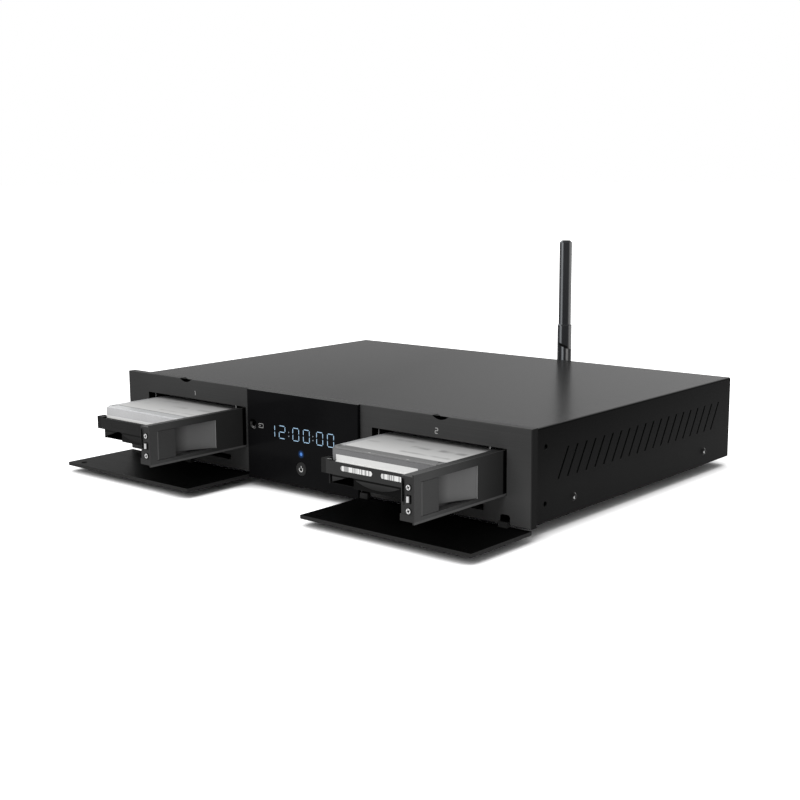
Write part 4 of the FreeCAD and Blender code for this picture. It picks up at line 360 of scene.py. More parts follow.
def mast_look():
    """The mast's painted highlights, as light streaks set by which way its surface faces, and the slanted
    parting line at its folding joint.
    """
    mast = powder("mast_plastic", tone(44, 45, 47), 0.42, 0.1)
    across = mast.along("Normal", MAST_ACROSS)
    upper = mast.slope(MAST_CUT, MAST_CUT_LEVEL, 0.8)
    lower = mast.less(upper)
    # Painted highlights: light streaks on the upper and lower mast, by which way the surface faces.
    mast.tinted(mast.both(upper, mast.band(across, -0.74, -0.50)), tone(142, 145, 148))
    mast.tinted(mast.both(upper, mast.span(across, 0.40, 0.65)), tone(140))
    mast.tinted(mast.both(lower, mast.band(across, -0.45, -0.22)), tone(150, 154, 158))
    mast.tinted(mast.both(lower, mast.band(across, 0.16, 0.46)), tone(150))
    edges = [mast.slope(MAST_CUT, level, 0.5) for level in MAST_CUT_EDGES]
    line = mast.both(edges[0], mast.less(edges[1]))
    mast.tinted(mast.both(line, mast.span(across, 0.6, 0.3)), tone(6))
    looks["mast_plastic"] = mast


def cage_look():
    """The cage's cut front edge is bare metal."""
    cage = powder("rack_sheet", tone(26), 0.4, 0.25)
    cage_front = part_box("left_rack_cage")[0].y
    cut = cage.span(cage.axis("Object", 1), cage_front + 0.0004, cage_front + 0.0001)
    cage.tinted(cut, tone(228))
    looks["rack_sheet"] = cage


def display_looks():
    """The window, with a painted blue glow round the lamp, and the display's glass."""
    window = Look("window", tone(18, 18, 19), 0.16, 0.0, 0.01)
    haze = window.noise(60.0, 2.0)
    window.vary(haze, 0.06)
    window.gloss(haze, 0.12, 0.2)
    # Painted light: a blue glow round the lamp.
    window.tinted(window.near(LED, 0.6, 3.4), tone(40, 78, 132))
    looks["window"] = window

    glass = Look("tube_glass", tone(30, 34, 38), 0.1)
    glass.gloss(glass.noise(50.0), 0.08, 0.16)
    looks["tube_glass"] = glass


def board_look():
    """A green circuit board with a grid of tracks."""
    board = Look("circuit_board", tone(28, 66, 48), 0.35)
    tracks = board.node("ShaderNodeTexBrick")
    board.link(board.mapped((1, 1, 1)), tracks.inputs["Vector"])
    tracks.inputs["Scale"].default_value = 160.0
    tracks.inputs["Mortar Size"].default_value = 0.03
    tracks.inputs["Color1"].default_value = tone(24, 60, 43)
    tracks.inputs["Color2"].default_value = tone(30, 72, 52)
    tracks.inputs["Mortar"].default_value = tone(60, 110, 78)
    board.paint(tracks.outputs["Color"])
    board.vary(board.noise(300.0), 0.1)
    looks["circuit_board"] = board


def tray_looks():
    """A tray has painted shade below its front bar, a painted shadow in a thin line just under it and painted
    shade behind it, and is darker at its left end.
    """
    for side, level in (("left", 30), ("right", 52)):
        tray = powder(side + "_tray", tone(level), 0.42, 0.04, 2800.0)
        # Painted shade: darker downward below the bar.
        tray.tinted(tray.ramp(2, BAR_LOW - 1.0, BAR_LOW - 8.0), tone(level * 0.4))
        # Painted shadow in a thin line under the bar.
        shadow_under_bar = tray.both(tray.step(2, BAR_LOW - 1.5), tray.less(tray.step(2, BAR_LOW - 0.1)))
        tray.tinted(shadow_under_bar, tone(2))
        # Painted shade on the surfaces behind the drive's front.
        tray.tinted(tray.step(1, DRIVE_FRONT - 1.6), tone(6))
        tray.tinted(tray.less(tray.step(0, DRIVE[side][0].x + 0.4)), tone(level * 0.68))
        looks[side + "_tray"] = tray


DOOR_PAINTED_SHADE = (-82.0, -32.0)             # painted shade: the outer face darkens to the rear
SCOOP_SHADE = ((0, 0.061, 1), 22.8, 0.5)  # direction, level and width of the painted shade's upper edge
SCOOP_LIP = -40.0                      # faces to the front behind this are the scoop's lip, painted as a highlight
DOOR_END = -90.0                       # and those before this are the door's end
# Painted shade: faces to the side behind this are the hinge's gap, painted black.
DOOR_HINGE_GAP = -3.2
DOOR_RIM = 22.2


def door_look():
    """The outer face darkens to the rear as painted shade, the scoop and its rear lip have painted
    highlights, with painted shade along the scoop's lower edge, the hinge's gap is painted black as shade,
    and the end face and the lower rim each have a tone."""
    door = powder("door_plastic", tone(70), 0.4, 0.04, 2800.0)
    # Painted shade: the outer face darkens to the rear.
    door.tinted(door.ramp(1, *DOOR_PAINTED_SHADE), tone(46))
    curved = door.both(door.facing(0, 1, 0.5, 0.6), door.span(door.axis("Normal", 1), -0.02, -0.12))
    # Painted highlight on the scoop's curved face.
    door.tinted(curved, tone(112))
    wedge = door.less(door.slope(*SCOOP_SHADE))
    # Painted shade along the scoop's lower edge.
    door.tinted(door.both(curved, wedge), tone(30))
    # Painted highlight on the scoop's rear lip.
    door.tinted(door.both(door.facing(1, -1), door.step(1, SCOOP_LIP)), tone(150))
    door.tinted(door.both(door.facing(1, -1), door.less(door.step(1, DOOR_END))), tone(52))
    # Painted shade: the hinge's gap is painted black.
    door.tinted(door.both(door.facing(0, 1), door.step(1, DOOR_HINGE_GAP)), tone(2))
    door.tinted(door.both(door.facing(0, 1), door.less(door.step(2, DOOR_RIM))), tone(86))
    looks["door_plastic"] = door


def lever_look():
    """The lever has a painted highlight along its front edge, and painted shade in the gaps above and below.
    """
    lever = powder("lever_plastic", tone(66), 0.4, 0.04, 2800.0)
    low, high = LEVER
    # Painted highlight along the front edge.
    lever.tinted(lever.less(lever.step(1, low.y + 1.3)), tone(92))
    # Painted shade in the gaps above and below.
    for rim in (lever.less(lever.step(2, low.z + 0.8)), lever.step(2, high.z - 0.8)):
        lever.tinted(rim, tone(12))
    looks["lever_plastic"] = lever


def drive_looks():
    """A drive's casting, painted dark below the bar's level as shade, and its brushed lid."""
    for side, level in (("left", 192), ("right", 118)):
        cast = powder(side + "_drive_cast", tone(level, level, level + 1), 0.42, 0.12, 1500.0, 0.00008)
        # Painted shade: the casting's front is dark below the bar's level.
        cast.tinted(cast.less(cast.step(2, BAR_LOW + 0.6)), tone(6))
        looks[side + "_cast"] = cast

        lid = Look(side + "_drive_lid", tone(196, 197, 198), 0.36, 0.35, 0.5)
        lid.vary(lid.noise(30.0, 3.0), 0.05)
        grain = lid.noise(900.0, 3.0, 0.6, (1, 0.05, 1))
        lid.vary(grain, 0.04)
        lid.bump(grain, 0.05, 0.00003)
        if side == "right":
            lid.tinted(lid.less(lid.step(1, DRIVE_FRONT + LABEL_SETBACK, 1.0)), tone(120))
        looks[side + "_lid"] = lid


def case_screw_look():
    """Black heads, each with a painted highlight arc and a painted glint."""
    dark = powder("black_steel", tone(8), 0.3, 0.12, 1800.0)
    for y in CASE_SCREW_Y:
        centre = Vector((0, y, CASE_SCREW_Z))
        arc = dark.both(dark.near(centre, 2.9, 3.1, 0), dark.less(dark.near(centre, 2.1, 2.4, 0)))
        # Painted highlight: a bright arc on one side of each head.
        dark.tinted(dark.both(arc, dark.step(1, y + 0.6)), tone(190))
        # Painted glint.
        dark.tinted(dark.near(centre + Vector((0, -1.1, -0.2)), 0.7, 1.3, 0), tone(225))
    looks["black_steel"] = dark


JACK_PAINTED_GLINT = Vector((1.9, 0, -2.2))    # painted glint, offset from the jack's middle


def jack_look():
    """A dark ring with a painted glint, and the bore behind it painted black as shade."""
    jack = metal("jack_metal", tone(34), 0.3)
    # Painted glint.
    jack.tinted(jack.near(JACK + JACK_PAINTED_GLINT, 1.6, 2.6), tone(240))
    # Painted shade: the bore behind the window's face is black.
    jack.tinted(jack.step(1, WINDOW_FACE + 0.8), tone(4))
    looks["jack_metal"] = jack


def door_screw_looks():
    """Two bright heads, each with a dark rim, pit and cross recess painted as shade."""
    for side in SIDES:
        screw = metal(side + "_door_screw", tone(196), 0.35)
        low, high = SCREWS[side]
        rim = (high.x - low.x) / 2
        for z in (low.z + rim, high.z - rim):
            middle = ((low.x + high.x) / 2, 0, z)
            # Painted shade in the pit.
            screw.tinted(screw.near(middle, 0.5, 0.95), tone(20))
            ring = screw.both(screw.near(middle, rim * 1.2, rim * 1.3),
                              screw.less(screw.near(middle, rim * 0.78, rim * 0.9)))
            # Painted shade on the rim.
            screw.tinted(ring, tone(40))
            heart = at(*middle)
            for across, up in CROSS_ARMS:
                reach = screw.along("Object", (across, 0.0, up))
                centre = heart.x * across + heart.z * up
                arm = screw.band(reach, centre - CROSS_HALF, centre + CROSS_HALF, 0.00008)
                # Painted shade in the cross recess.
                screw.tinted(screw.both(arm, screw.near(middle, rim * 0.7, rim * 0.8)), tone(30))
        looks[side + "_door_screw"] = screw


def latch_look():
    """The right half of each tongue is dark."""
    tongue = metal("latch_metal", tone(170), 0.4)
    for side in SIDES:
        low, high = (local(corner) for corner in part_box(side + "_latch_tongue"))
        middle = (low.x + high.x) / 2
        right_half = tongue.ramp(0, middle, middle + 0.6)
        tongue.tinted(tongue.both(right_half, tongue.less(tongue.step(0, high.x + 1.0))), tone(34))
    looks["latch_metal"] = tongue


def lamp_look():
    """The status lamp's blue glow."""
    lamp = Look("blue_lamp", tone(40, 90, 160), 0.3)
    lamp.set("Emission Color", tone(70, 135, 215))
    lamp.set("Emission Strength", 0.5)
    lamp.vary(lamp.noise(400.0), 0.1)
    looks["blue_lamp"] = lamp


def plain_looks():
    """Looks of one tone all over."""
    looks["base_metal"] = powder("base_metal", tone(8), 0.5, 0.04, 1900.0)
    looks["sheet_metal"] = powder("rear_metal", tone(40), 0.45, 0.2, 1900.0)
    looks["black_plastic"] = powder("black_plastic", tone(40, 40, 42), 0.5, 0.3, 3200.0)
    looks["button"] = powder("button_face", tone(30), 0.4, 0.12, 3000.0)
    # Painted shade: a black look for plates put in gaps and openings.
    looks["painted_shade"] = powder("painted_shade", tone(2), 0.7, 0.0, 1800.0)
    looks["pad_rubber"] = powder("pad_rubber", tone(6), 0.6, 0.02, 1800.0)
    looks["rubber"] = powder("rubber", tone(34), 0.7, 0.2, 1800.0, 0.0001)
    looks["bright_steel"] = metal("bright_steel", tone(205, 205, 207), 0.22)
    looks["brass"] = metal("brass", tone(228, 190, 120), 0.25)


NODE_LOOKS = {
    "front_panel": "front_metal", "heatsink": "front_metal",
    "top_cover": "cover", "rear_panel": "sheet_metal", "chassis_base": "base_metal",
    "front_panel_screws": "bright_steel", "foot_screws": "bright_steel", "isolator_screws": "bright_steel",
    "case_screws": "black_steel", "feet": "rubber",
    "display_window": "window", "display_tube": "tube_glass", "display_board": "circuit_board",
    "status_led": "blue_lamp", "front_jack": "jack_metal", "power_button": "button",
    "button_switch": "black_plastic",
    "hdmi_ports": "bright_steel", "usb_ports": "bright_steel", "lan_port": "bright_steel",
    "optical_port": "black_plastic", "audio_ports": "brass", "power_inlet": "black_plastic",
    "switch_frame": "black_plastic", "power_rocker": "black_plastic",
    "antenna_connector": "brass", "antenna_knuckle": "black_plastic", "antenna_mast": "mast_plastic",
    "main_board": "circuit_board", "power_supply": "circuit_board",
}
SIDE_LOOKS = {
    "flap": "flap_metal", "flap_pins": "bright_steel", "flap_pads": "pad_rubber",
    "rack_cage": "rack_sheet", "rack_isolators": "rubber", "rack_backplane": "circuit_board",
    "rack_door": "door_plastic", "door_pin": "bright_steel",
    "door_lever": "lever_plastic", "latch_tongue": "latch_metal",
    "drive_board": "circuit_board",
}


def dress(node, look):
    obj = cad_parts[node]
    obj.data.materials.clear()
    obj.data.materials.append(looks[look].mat)


# ---------------------------------------------------------------------------------------------------------
# Small pieces
# ---------------------------------------------------------------------------------------------------------
def piece(name, look, body, build):
    """A mesh made by build(bm), in the part's frame, riding on body."""
    mesh = bpy.data.meshes.new(name)
    bm = bmesh.new()
    build(bm)
    bmesh.ops.recalc_face_normals(bm, faces=bm.faces)
    bm.to_mesh(mesh)
    bm.free()
    obj = bpy.data.objects.new(name, mesh)
    bpy.context.scene.collection.objects.link(obj)
    mesh.materials.append(look.mat)
    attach(obj, body)


def plate_xz(bm, points, y0, y1):
    """A flat outline in X and Z, in panel millimetres, given thickness from y0 to y1."""
    front = [bm.verts.new(at(x, y0, z)) for x, z in points]
    back = [bm.verts.new(at(x, y1, z)) for x, z in points]
    bm.faces.new(front)
    bm.faces.new(back[::-1])
    n = len(points)
    for i in range(n):
        j = (i + 1) % n
        bm.faces.new((front[j], front[i], back[i], back[j]))


def plate_xy(bm, points, z0, z1):
    """The same for an outline in X and Y, from z0 to z1."""
    low = [bm.verts.new(at(x, y, z0)) for x, y in points]
    high = [bm.verts.new(at(x, y, z1)) for x, y in points]
    bm.faces.new(low)
    bm.faces.new(high[::-1])
    n = len(points)
    for i in range(n):
        j = (i + 1) % n
        bm.faces.new((low[j], low[i], high[i], high[j]))


def stroke(bm, a, b, width, y0, y1):
    """A straight stroke with pointed ends from a to b."""
    d = Vector(b) - Vector(a)
    u = d.normalized()
    n = Vector((-u.y, u.x)) * width / 2
    h = u * width / 2
    a, b = Vector(a), Vector(b)
    plate_xz(bm, [tuple(p) for p in (a, a + h + n, b - h + n, b, b - h - n, a + h - n)], y0, y1)


def ring_strokes(bm, centre, radius, width, start, end, count, y0, y1):
    """An arc of a ring from start to end degrees, as one outline of short straight sides."""
    points = []
    for i in range(count + 1):
        t = math.radians(start + (end - start) * i / count)
        points.append((math.cos(t), math.sin(t)))
    outer = [(centre[0] + (radius + width / 2) * c, centre[1] + (radius + width / 2) * s) for c, s in points]
    inner = [(centre[0] + (radius - width / 2) * c, centre[1] + (radius - width / 2) * s) for c, s in points]
    plate_xz(bm, outer + inner[::-1], y0, y1)


GLYPH_DEPTH = 0.05
DIGIT_WIDTH = 6.5
DIGIT_LOW = 33.6
DIGIT_MIDDLE = 38.7
DIGIT_HIGH = 43.6
DIGIT_PITCH = 11.5
DIGIT_STROKE = 0.58
DIGIT_INSET = 0.5
PAIR_X = (-35.3, -8.6, 17.2)
COLON_X = (-13.2, 13.2)
COLON_Z = (36.3, 39.4)
COLON_HALF = 0.6
INPUT_BOX = (-47.0, -41.8, 39.5, 42.7)
INPUT_STROKE = 0.42
INPUT_CORNER = 0.9
POWER_CENTRE = (0.0, 11.7)
POWER_RADIUS = 1.9
POWER_STROKE = 0.55
POWER_TURN = (152, 394)        # start and end of the open ring, in degrees
POWER_BAR = (0.0, 0.5, 12.4, 14.5)
BAY_NUMBER_X = (-126.5, 133.0)
BAY_NUMBER_Z = 56.6
NUMERAL_WIDTH = 2.4
NUMERAL_HEIGHT = 3.8
NUMERAL_STROKE = 0.55
PRINT_DEPTH = 0.03
PAIRS = ("12", "00", "00")
SEGMENTS = {"1": "bc", "2": "abged", "0": "abcdef"}


def digit_segments(x):
    r = x + DIGIT_WIDTH
    return {
        "a": ((x, DIGIT_HIGH), (r, DIGIT_HIGH)), "b": ((r, DIGIT_HIGH), (r, DIGIT_MIDDLE)),
        "c": ((r, DIGIT_MIDDLE), (r, DIGIT_LOW)), "d": ((x, DIGIT_LOW), (r, DIGIT_LOW)),
        "e": ((x, DIGIT_MIDDLE), (x, DIGIT_LOW)), "f": ((x, DIGIT_HIGH), (x, DIGIT_MIDDLE)),
        "g": ((x, DIGIT_MIDDLE), (r, DIGIT_MIDDLE)),
    }


def clock(bm):
    y0 = WINDOW_FACE - GLYPH_DEPTH
    for x0, pair in zip(PAIR_X, PAIRS):
        for k, digit in enumerate(pair):
            ends = digit_segments(x0 + k * DIGIT_PITCH)
            for s in SEGMENTS[digit]:
                (ax, az), (bx, bz) = ends[s]
                dx, dz = (DIGIT_INSET, 0) if ax != bx else (0, -DIGIT_INSET)
                stroke(bm, (ax + dx, az + dz), (bx - dx, bz - dz), DIGIT_STROKE, y0, WINDOW_FACE)


def colons(bm):
    y0 = WINDOW_FACE - GLYPH_DEPTH
    h = COLON_HALF
    for x in COLON_X:
        for z in COLON_Z:
            plate_xz(bm, [(x - h, z), (x, z + h), (x + h, z), (x, z - h)], y0, WINDOW_FACE)


def input_symbol(bm):
    """A rounded box, open at its left side, with an arrow that points into it."""
    y0 = WINDOW_FACE - GLYPH_DEPTH
    x0, x1, z0, z1 = INPUT_BOX
    w, c = INPUT_STROKE, INPUT_CORNER
    corners = ((x1 - c, z1 - c, 0), (x0 + c, z1 - c, 90), (x0 + c, z0 + c, 180), (x1 - c, z0 + c, 270))
    for cx, cz, start in corners:
        ring_strokes(bm, (cx, cz), c, w, start, start + 90, 5, y0, WINDOW_FACE)
    for a, b in (((x0 + c, z1), (x1 - c, z1)), ((x0 + c, z0), (x1 - c, z0)), ((x1, z0 + c), (x1, z1 - c))):
        ax, az = a
        bx, bz = b
        h = w / 2
        if az == bz:
            plate_xz(bm, [(ax, az - h), (bx, az - h), (bx, az + h), (ax, az + h)], y0, WINDOW_FACE)
        else:
            plate_xz(bm, [(ax - h, az), (ax + h, az), (ax + h, bz), (ax - h, bz)], y0, WINDOW_FACE)
    middle = (z0 + z1) / 2
    plate_xz(bm, [(x0 + 0.9, middle - 0.6), (x0 + 2.3, middle), (x0 + 0.9, middle + 0.6)], y0, WINDOW_FACE)


def power_symbol(bm):
    """A ring that is open at the top, with an upright bar."""
    y0, y1 = BUTTON_FACE - PRINT_DEPTH, BUTTON_FACE + 0.6
    x0, x1, z0, z1 = POWER_BAR
    ring_strokes(bm, POWER_CENTRE, POWER_RADIUS, POWER_STROKE, *POWER_TURN, 20, y0, y1)
    plate_xz(bm, [(x0, z0), (x1, z0), (x1, z1), (x0, z1)], y0, y1)


def numeral(text, x, z):
    """A plain bay number about x, standing on z."""
    w, h = NUMERAL_WIDTH, NUMERAL_HEIGHT
    if text == "1":
        left = x
        lines = (((0, 0), (0, h)), ((-0.9, h - 0.9), (0.1, h)))
    else:
        left = x - w / 2
        lines = (((0, h), (w, h)), ((w, h), (w, h / 2)), ((0, h / 2), (w, h / 2)),
                 ((0, h / 2), (0, 0)), ((0, 0), (w, 0)))

    def build(bm):
        for a, b in lines:
            stroke(bm, (left + a[0], z + a[1]), (left + b[0], z + b[1]), NUMERAL_STROKE, -PRINT_DEPTH, 0)
    return build


def glowing(name, color, strength):
    """A lit display segment."""
    look = Look(name, color, 0.4, 0.0, 0.2)
    look.set("Emission Color", color)
    look.set("Emission Strength", strength)
    look.vary(look.noise(500.0), 0.04)
    return look


def paper(name, level):
    """Printed paper or ink of one grey tone, also used for light marks and a painted highlight."""
    look = Look(name, tone(level, level, level - 1), 0.55, 0.0, 0.25)
    fibre = look.noise(1400.0, 4.0, 0.6)
    look.vary(fibre, 0.025)
    look.bump(fibre, 0.08, 0.00002)
    return look


# Soft grey rows on a drive's label, from its front left corner: x from, x to, y from, y to, strength.
LABEL_ROWS = (
    (48.0, 65.0, 33.0, 38.0, 0.55), (72.0, 95.0, 33.5, 39.0, 0.55), (50.0, 94.0, 18.0, 20.5, 0.5),
    (60.0, 92.0, 56.0, 64.0, 0.5), (9.0, 20.0, 31.0, 34.0, 0.3), (22.0, 40.0, 46.0, 50.0, 0.35),
)
LABEL_PAINTED_SHADE = (14.0, 62.0)              # painted shade: the paper darkens over this stretch behind the drive's front
LABEL_INK = 96
LABEL_TONES = {"left": (202, 0.6), "right": (206, 1.0)}


def drive_paper(side, level, strength):
    """Label paper, with painted shade toward the rear, and soft unreadable rows."""
    look = paper(side + "_label_paper", level)
    corner = DRIVE[side][0]
    # Painted shade toward the rear.
    rear_shade = look.ramp(1, *(corner.y + v for v in LABEL_PAINTED_SHADE))
    look.tinted(look.both(rear_shade, 0.8), tone(level * 0.70))
    for x0, x1, y0, y1, dark in LABEL_ROWS:
        row = look.patch(corner.x + x0, corner.x + x1, corner.y + y0, corner.y + y1)
        broken = look.span(look.noise(90.0, 1.0), 0.35, 0.6)
        look.tinted(look.both(look.both(row, broken), dark * strength), tone(LABEL_INK))
    if side == "left":
        look.tinted(look.less(look.step(1, corner.y + LABEL_SETBACK + 0.9, 0.8)), tone(120))
    return look


def bar_code(name):
    """White paper with upright bars of uneven width."""
    look = paper(name, 238)
    bars = look.noise(1.0, 0.0, 0.5, (620, 0.0, 0.0))
    wide = look.noise(1.0, 0.0, 0.5, (230, 0.0, 0.0))
    dark = look.math("MAXIMUM", look.span(bars, 0.52, 0.56), look.span(wide, 0.58, 0.61))
    look.tinted(look.both(dark, 0.7), tone(110))
    return look


def drive_label(side):
    """The label's plate, with cut corners."""
    def build(bm):
        low, high = DRIVE[side]
        a, b, c = low.x + LABEL_LEFT, high.x - LABEL_RIGHT, LABEL_CORNER
        y0, y1 = low.y + LABEL_SETBACK, high.y - LABEL_REAR
        plate_xy(bm, [(a + c, y0), (b - c, y0), (b, y0 + c), (b, y1 - c), (b - c, y1), (a + c, y1),
                      (a, y1 - c), (a, y0 + c)], DRIVE_TOP, DRIVE_TOP + 0.06)
    return build


# A strip's lower and upper edge, its two ends from the drive's left side, its thickness and its lip.
FRONT_BANDS = {"left": (39.4, 41.6, 3.5, 93.9, 0.2, 0.0), "right": (38.6, 44.0, 7.1, 82.0, 0.12, 2.7)}


def front_band(side):
    """A strip across the drive's front face, which may turn forward over the tray's bar by lip."""
    low, high, from_u, to_u, depth, lip = FRONT_BANDS[side]

    def build(bm):
        a, b, c = DRIVE[side][0].x + from_u, DRIVE[side][0].x + to_u, 1.6
        plate_xz(bm, [(a + c, low), (b - c, low), (b, low + 0.8), (b, high), (a, high), (a, low + c)],
                 DRIVE_FRONT - depth, DRIVE_FRONT)
        if lip:
            y = DRIVE_FRONT - lip
            plate_xy(bm, [(a + c, y), (b - 2 * c, y), (b, y + 1.4), (b, DRIVE_FRONT), (a, DRIVE_FRONT)],
                     BAR_HIGH, BAR_HIGH + 0.05)
    return build


def stadium(x0, x1, z, radius):
    """Outline of a slot with round ends, of full length x0 to x1."""
    points = []
    for centre, start in ((x1 - radius, -90), (x0 + radius, 90)):
        for k in range(9):
            t = math.radians(start + 22.5 * k)
            points.append((centre + radius * math.cos(t), z + radius * math.sin(t)))
    return points


BAR_SLOT_MIDDLE = 35.9
BAR_SLOT_HEIGHT = 5.2
BAR_SLOT_LENGTH = 30.6
BAR_SLOT_SPACE = 6.9
BAR_SLOT_SHIFT = 2.5           # how far left of the drive's middle the pair of slots lies
INSERT_GAP = 0.05


def slot_starts(side):
    """Left ends of the two slots in the tray's front bar."""
    middle = (DRIVE[side][0].x + DRIVE[side][1].x) / 2 - BAR_SLOT_SHIFT
    return middle - BAR_SLOT_SPACE / 2 - BAR_SLOT_LENGTH, middle + BAR_SLOT_SPACE / 2


def bar_inserts(side):
    """Dark plates that fill the two slots of the tray's front bar."""
    radius = BAR_SLOT_HEIGHT / 2 - INSERT_GAP

    def build(bm):
        for x in slot_starts(side):
            outline = stadium(x + INSERT_GAP, x + BAR_SLOT_LENGTH - INSERT_GAP, BAR_SLOT_MIDDLE, radius)
            plate_xz(bm, outline, BAR_FRONT + 0.05, BAR_FRONT + 1.0)
    return build


def bar_labels(bm):
    """Printed strips on the right tray's bar."""
    for x in slot_starts("right"):
        plate_xz(bm, stadium(x + 0.25, x + BAR_SLOT_LENGTH - 0.8, BAR_SLOT_MIDDLE - 0.5, 1.8),
                 BAR_FRONT - 0.02, BAR_FRONT + 0.05)


def block(x0, x1, y0, y1, z0, z1):
    """A plain box."""
    def build(bm):
        plate_xz(bm, [(x0, z0), (x1, z0), (x1, z1), (x0, z1)], y0, y1)
    return build


def notch_shadow(x):
    """A black plate painted in as shade in the gap behind a finger notch of the panel's top edge."""
    centre = PANEL_TOP + NOTCH_RISE
    half = math.degrees(math.acos(NOTCH_RISE / NOTCH_RADIUS))
    turns = [math.radians(-90 - half + half * k / 5) for k in range(11)]
    points = [(x + NOTCH_RADIUS * math.cos(t), centre + NOTCH_RADIUS * math.sin(t)) for t in turns]

    def build(bm):
        plate_xz(bm, points, 0.5, 0.8)
    return build


SHADE_PLATE_INSET = 3.6


def drive_shade_plate(side):
    """A black plate painted in as shade in the gap between the drive's front face and the tray's bar."""
    low, high = DRIVE[side]
    return block(low.x + SHADE_PLATE_INSET, high.x - SHADE_PLATE_INSET, DRIVE_FRONT - 0.06, DRIVE_FRONT,
                 low.z + 0.1, BAR_LOW + 0.4)


SLIT_SHARE = 0.19              # how far across the door's end face the slit starts
SLIT_WIDTH = 1.2
SLIT_LOW = 18.3                # from the door's top down to the slit's ends
SLIT_HIGH = 3.1


def door_slit(side):
    """A black plate painted in as shade for the narrow opening in the door's end face, beside its screws."""
    low, high = DOOR[side]
    x = low.x + (high.x - low.x) * SLIT_SHARE
    z0, z1 = high.z - SLIT_LOW, high.z - SLIT_HIGH
    return block(x, x + SLIT_WIDTH, DOOR_FRONT - PRINT_DEPTH, DOOR_FRONT, z0, z1)


DRIVE_MARK_X = (115.0, 149.5)  # small light marks on the right drive's front edge
EAR_HIGHLIGHT = (78.4, 82.6, -55.6, -55.1, 40.4, 40.44)  # painted highlight along the edge of the right tray's left ear


def build_pieces():
    digit_look = glowing("clock_light", tone(150, 180, 204), 0.52)
    piece("clock_digits", digit_look, "cabinet", clock)
    piece("clock_colons", glowing("colon_light", tone(110, 118, 126), 0.6), "cabinet", colons)
    piece("input_symbol", paper("pale_print", 168), "cabinet", input_symbol)
    piece("power_symbol", paper("bright_print", 226), "power_button", power_symbol)
    print_look = paper("panel_print", 175)
    for side, text, x in zip(SIDES, "12", BAY_NUMBER_X):
        piece("bay_number_" + side, print_look, "cabinet", numeral(text, x, BAY_NUMBER_Z))
    for side, x in zip(SIDES, NOTCH_X):
        # A black plate behind each notch, painted in as shade.
        piece(side + "_notch_shade_plate", looks["painted_shade"], "cabinet", notch_shadow(x))
        body = side + "_carrier"
        label = drive_paper(side, *LABEL_TONES[side])
        piece(side + "_drive_label", label, body, drive_label(side))
        piece(side + "_bar_inserts", looks[side + "_tray"], body, bar_inserts(side))
        # A black plate for the door's slit, painted in as shade.
        piece(side + "_door_slit", looks["painted_shade"], side + "_door", door_slit(side))
        # A black plate between the drive and the bar, painted in as shade.
        piece(side + "_drive_shade_plate", looks["painted_shade"], body, drive_shade_plate(side))
    piece("right_bar_labels", bar_code("bar_paper"), "right_carrier", bar_labels)
    piece("right_front_band", paper("band_paper", 226), "right_carrier", front_band("right"))
    mark = paper("light_mark", 205)
    for k, x in enumerate(DRIVE_MARK_X):
        piece("drive_mark_%d" % (k + 1), mark, "right_carrier",
              block(x - 0.9, x + 0.9, DRIVE_FRONT + 1.0, DRIVE_FRONT + 1.8, DRIVE_TOP, DRIVE_TOP + 0.05))
    # Painted highlight on the edge of the tray's ear.
    piece("ear_highlight", mark, "right_carrier", block(*EAR_HIGHLIGHT))
    piece("left_front_band", paper("band_metal", 232), "left_carrier", front_band("left"))


# ---------------------------------------------------------------------------------------------------------
# Stage, camera and light
# ---------------------------------------------------------------------------------------------------------
FLOOR_COLOR = 0.86
FLOOR_LIFT = 0.9
AMBIENT = 0.62
KEY = 1.5
KEY_DIRECTION = (0.08, 0.62, -0.75)
KEY_ANGLE = 60
FLOOR_HALF = 30.0
CONTACT_REACH = 0.022          # how far the painted contact shadow reaches, in metres
CONTACT_RANGE = (0.45, 0.95)   # openness of full and of no contact shadow


def seen(tree):
    """1 for camera, glossy and transmission rays, 0 for the rest."""
    path = tree.nodes.new("ShaderNodeLightPath")
    total = path.outputs["Is Camera Ray"]
    for name in ("Is Glossy Ray", "Is Transmission Ray"):
        m = tree.nodes.new("ShaderNodeMath")
        m.operation = "MAXIMUM"
        tree.links.new(total, m.inputs[0])
        tree.links.new(path.outputs[name], m.inputs[1])
        total = m.outputs[0]
    return total


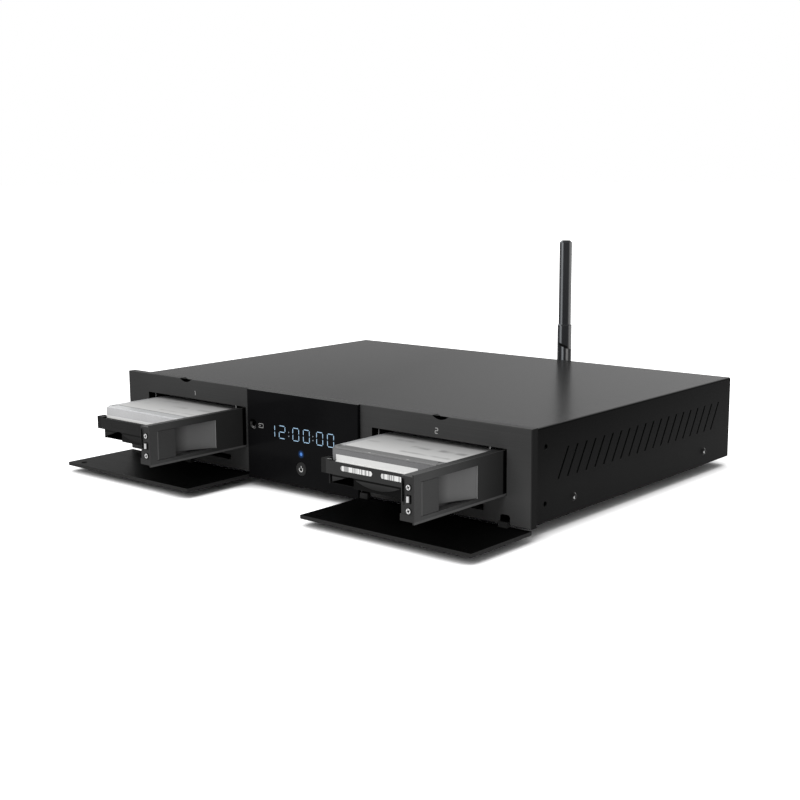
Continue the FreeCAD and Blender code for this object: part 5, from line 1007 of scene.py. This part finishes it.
def build_floor():
    """A white floor that keeps the shadow, with a painted contact shadow where the part stands close to it.
    """
    mesh = bpy.data.meshes.new("floor")
    half = FLOOR_HALF
    corners = [(-half, -half, 0), (half, -half, 0), (half, half, 0), (-half, half, 0)]
    mesh.from_pydata(corners, [], [(0, 1, 2, 3)])
    floor = bpy.data.objects.new("floor", mesh)
    bpy.context.scene.collection.objects.link(floor)
    mat = bpy.data.materials.new("floor")
    mat.use_nodes = True
    tree = mat.node_tree
    tree.nodes.clear()
    out = tree.nodes.new("ShaderNodeOutputMaterial")
    near = tree.nodes.new("ShaderNodeAmbientOcclusion")
    near.samples = 16
    near.inputs["Distance"].default_value = CONTACT_REACH
    spread = tree.nodes.new("ShaderNodeMapRange")
    spread.inputs["From Min"].default_value = CONTACT_RANGE[0]
    spread.inputs["From Max"].default_value = CONTACT_RANGE[1]
    tree.links.new(near.outputs["AO"], spread.inputs["Value"])
    diffuse = tree.nodes.new("ShaderNodeBsdfDiffuse")
    diffuse.inputs["Color"].default_value = (FLOOR_COLOR, FLOOR_COLOR, FLOOR_COLOR, 1)
    glow = tree.nodes.new("ShaderNodeEmission")
    shown = tree.nodes.new("ShaderNodeMath")
    shown.operation = "MULTIPLY"
    tree.links.new(seen(tree), shown.inputs[0])
    tree.links.new(spread.outputs["Result"], shown.inputs[1])
    lift = tree.nodes.new("ShaderNodeMath")
    lift.operation = "MULTIPLY"
    lift.inputs[1].default_value = FLOOR_LIFT
    tree.links.new(shown.outputs[0], lift.inputs[0])
    tree.links.new(lift.outputs[0], glow.inputs["Strength"])
    both = tree.nodes.new("ShaderNodeAddShader")
    tree.links.new(diffuse.outputs[0], both.inputs[0])
    tree.links.new(glow.outputs[0], both.inputs[1])
    tree.links.new(both.outputs[0], out.inputs["Surface"])
    mesh.materials.append(mat)


def build_world():
    """A white background that lights the part less than it shows."""
    world = bpy.data.worlds.new("world")
    bpy.context.scene.world = world
    world.use_nodes = True
    tree = world.node_tree
    back = tree.nodes["Background"]
    back.inputs["Color"].default_value = (1, 1, 1, 1)
    level = tree.nodes.new("ShaderNodeMapRange")
    level.inputs["To Min"].default_value = AMBIENT
    level.inputs["To Max"].default_value = 1.0
    tree.links.new(seen(tree), level.inputs["Value"])
    tree.links.new(level.outputs["Result"], back.inputs["Strength"])


def build_light(name, direction, strength, angle):
    light = bpy.data.lights.new(name, "SUN")
    light.energy = strength
    light.angle = math.radians(angle)
    obj = bpy.data.objects.new(name, light)
    bpy.context.scene.collection.objects.link(obj)
    obj.rotation_euler = Vector(direction).to_track_quat("-Z", "Y").to_euler()


CAMERA_PLACE = (697.37, -702.71, 237.84)
CAMERA_YAW = 40.41
CAMERA_PITCH = 9.886
CAMERA_ROLL = -0.345
FOCAL_PIXELS = 1291.4
IMAGE_SIZE = 800


def build_camera():
    a, e, r = (math.radians(v) for v in (CAMERA_YAW, CAMERA_PITCH, CAMERA_ROLL))
    back = Vector((math.sin(a) * math.cos(e), -math.cos(a) * math.cos(e), math.sin(e)))
    side = Vector((0, 0, 1)).cross(back).normalized()
    up = back.cross(side)
    side, up = side * math.cos(r) + up * math.sin(r), up * math.cos(r) - side * math.sin(r)
    camera = bpy.data.cameras.new("camera")
    camera.sensor_fit = "HORIZONTAL"
    camera.sensor_width = 36.0
    camera.lens = FOCAL_PIXELS / IMAGE_SIZE * camera.sensor_width
    camera.clip_start = 0.05
    camera.clip_end = 100.0
    obj = bpy.data.objects.new("camera", camera)
    bpy.context.scene.collection.objects.link(obj)
    turn = Matrix((side, up, back)).transposed().to_4x4()
    obj.matrix_world = Matrix.Translation(at(*CAMERA_PLACE)) @ turn
    bpy.context.scene.camera = obj


for build in (panel_looks, cover_look, mast_look, cage_look, display_looks, board_look, tray_looks, door_look,
              lever_look, drive_looks, case_screw_look, jack_look, door_screw_looks, latch_look, lamp_look,
              plain_looks):
    build()
for node, look in NODE_LOOKS.items():
    dress(node, look)
for side in SIDES:
    for node, look in SIDE_LOOKS.items():
        dress(side + "_" + node, look)
    dress(side + "_drive_body", side + "_cast")
    dress(side + "_drive_lid", side + "_lid")
    dress(side + "_drive_carrier", side + "_tray")
    dress(side + "_door_screws", side + "_door_screw")
build_pieces()
build_floor()
build_world()
build_light("key", KEY_DIRECTION, KEY, KEY_ANGLE)
build_camera()

bpy.context.scene.view_settings.view_transform = "Standard"
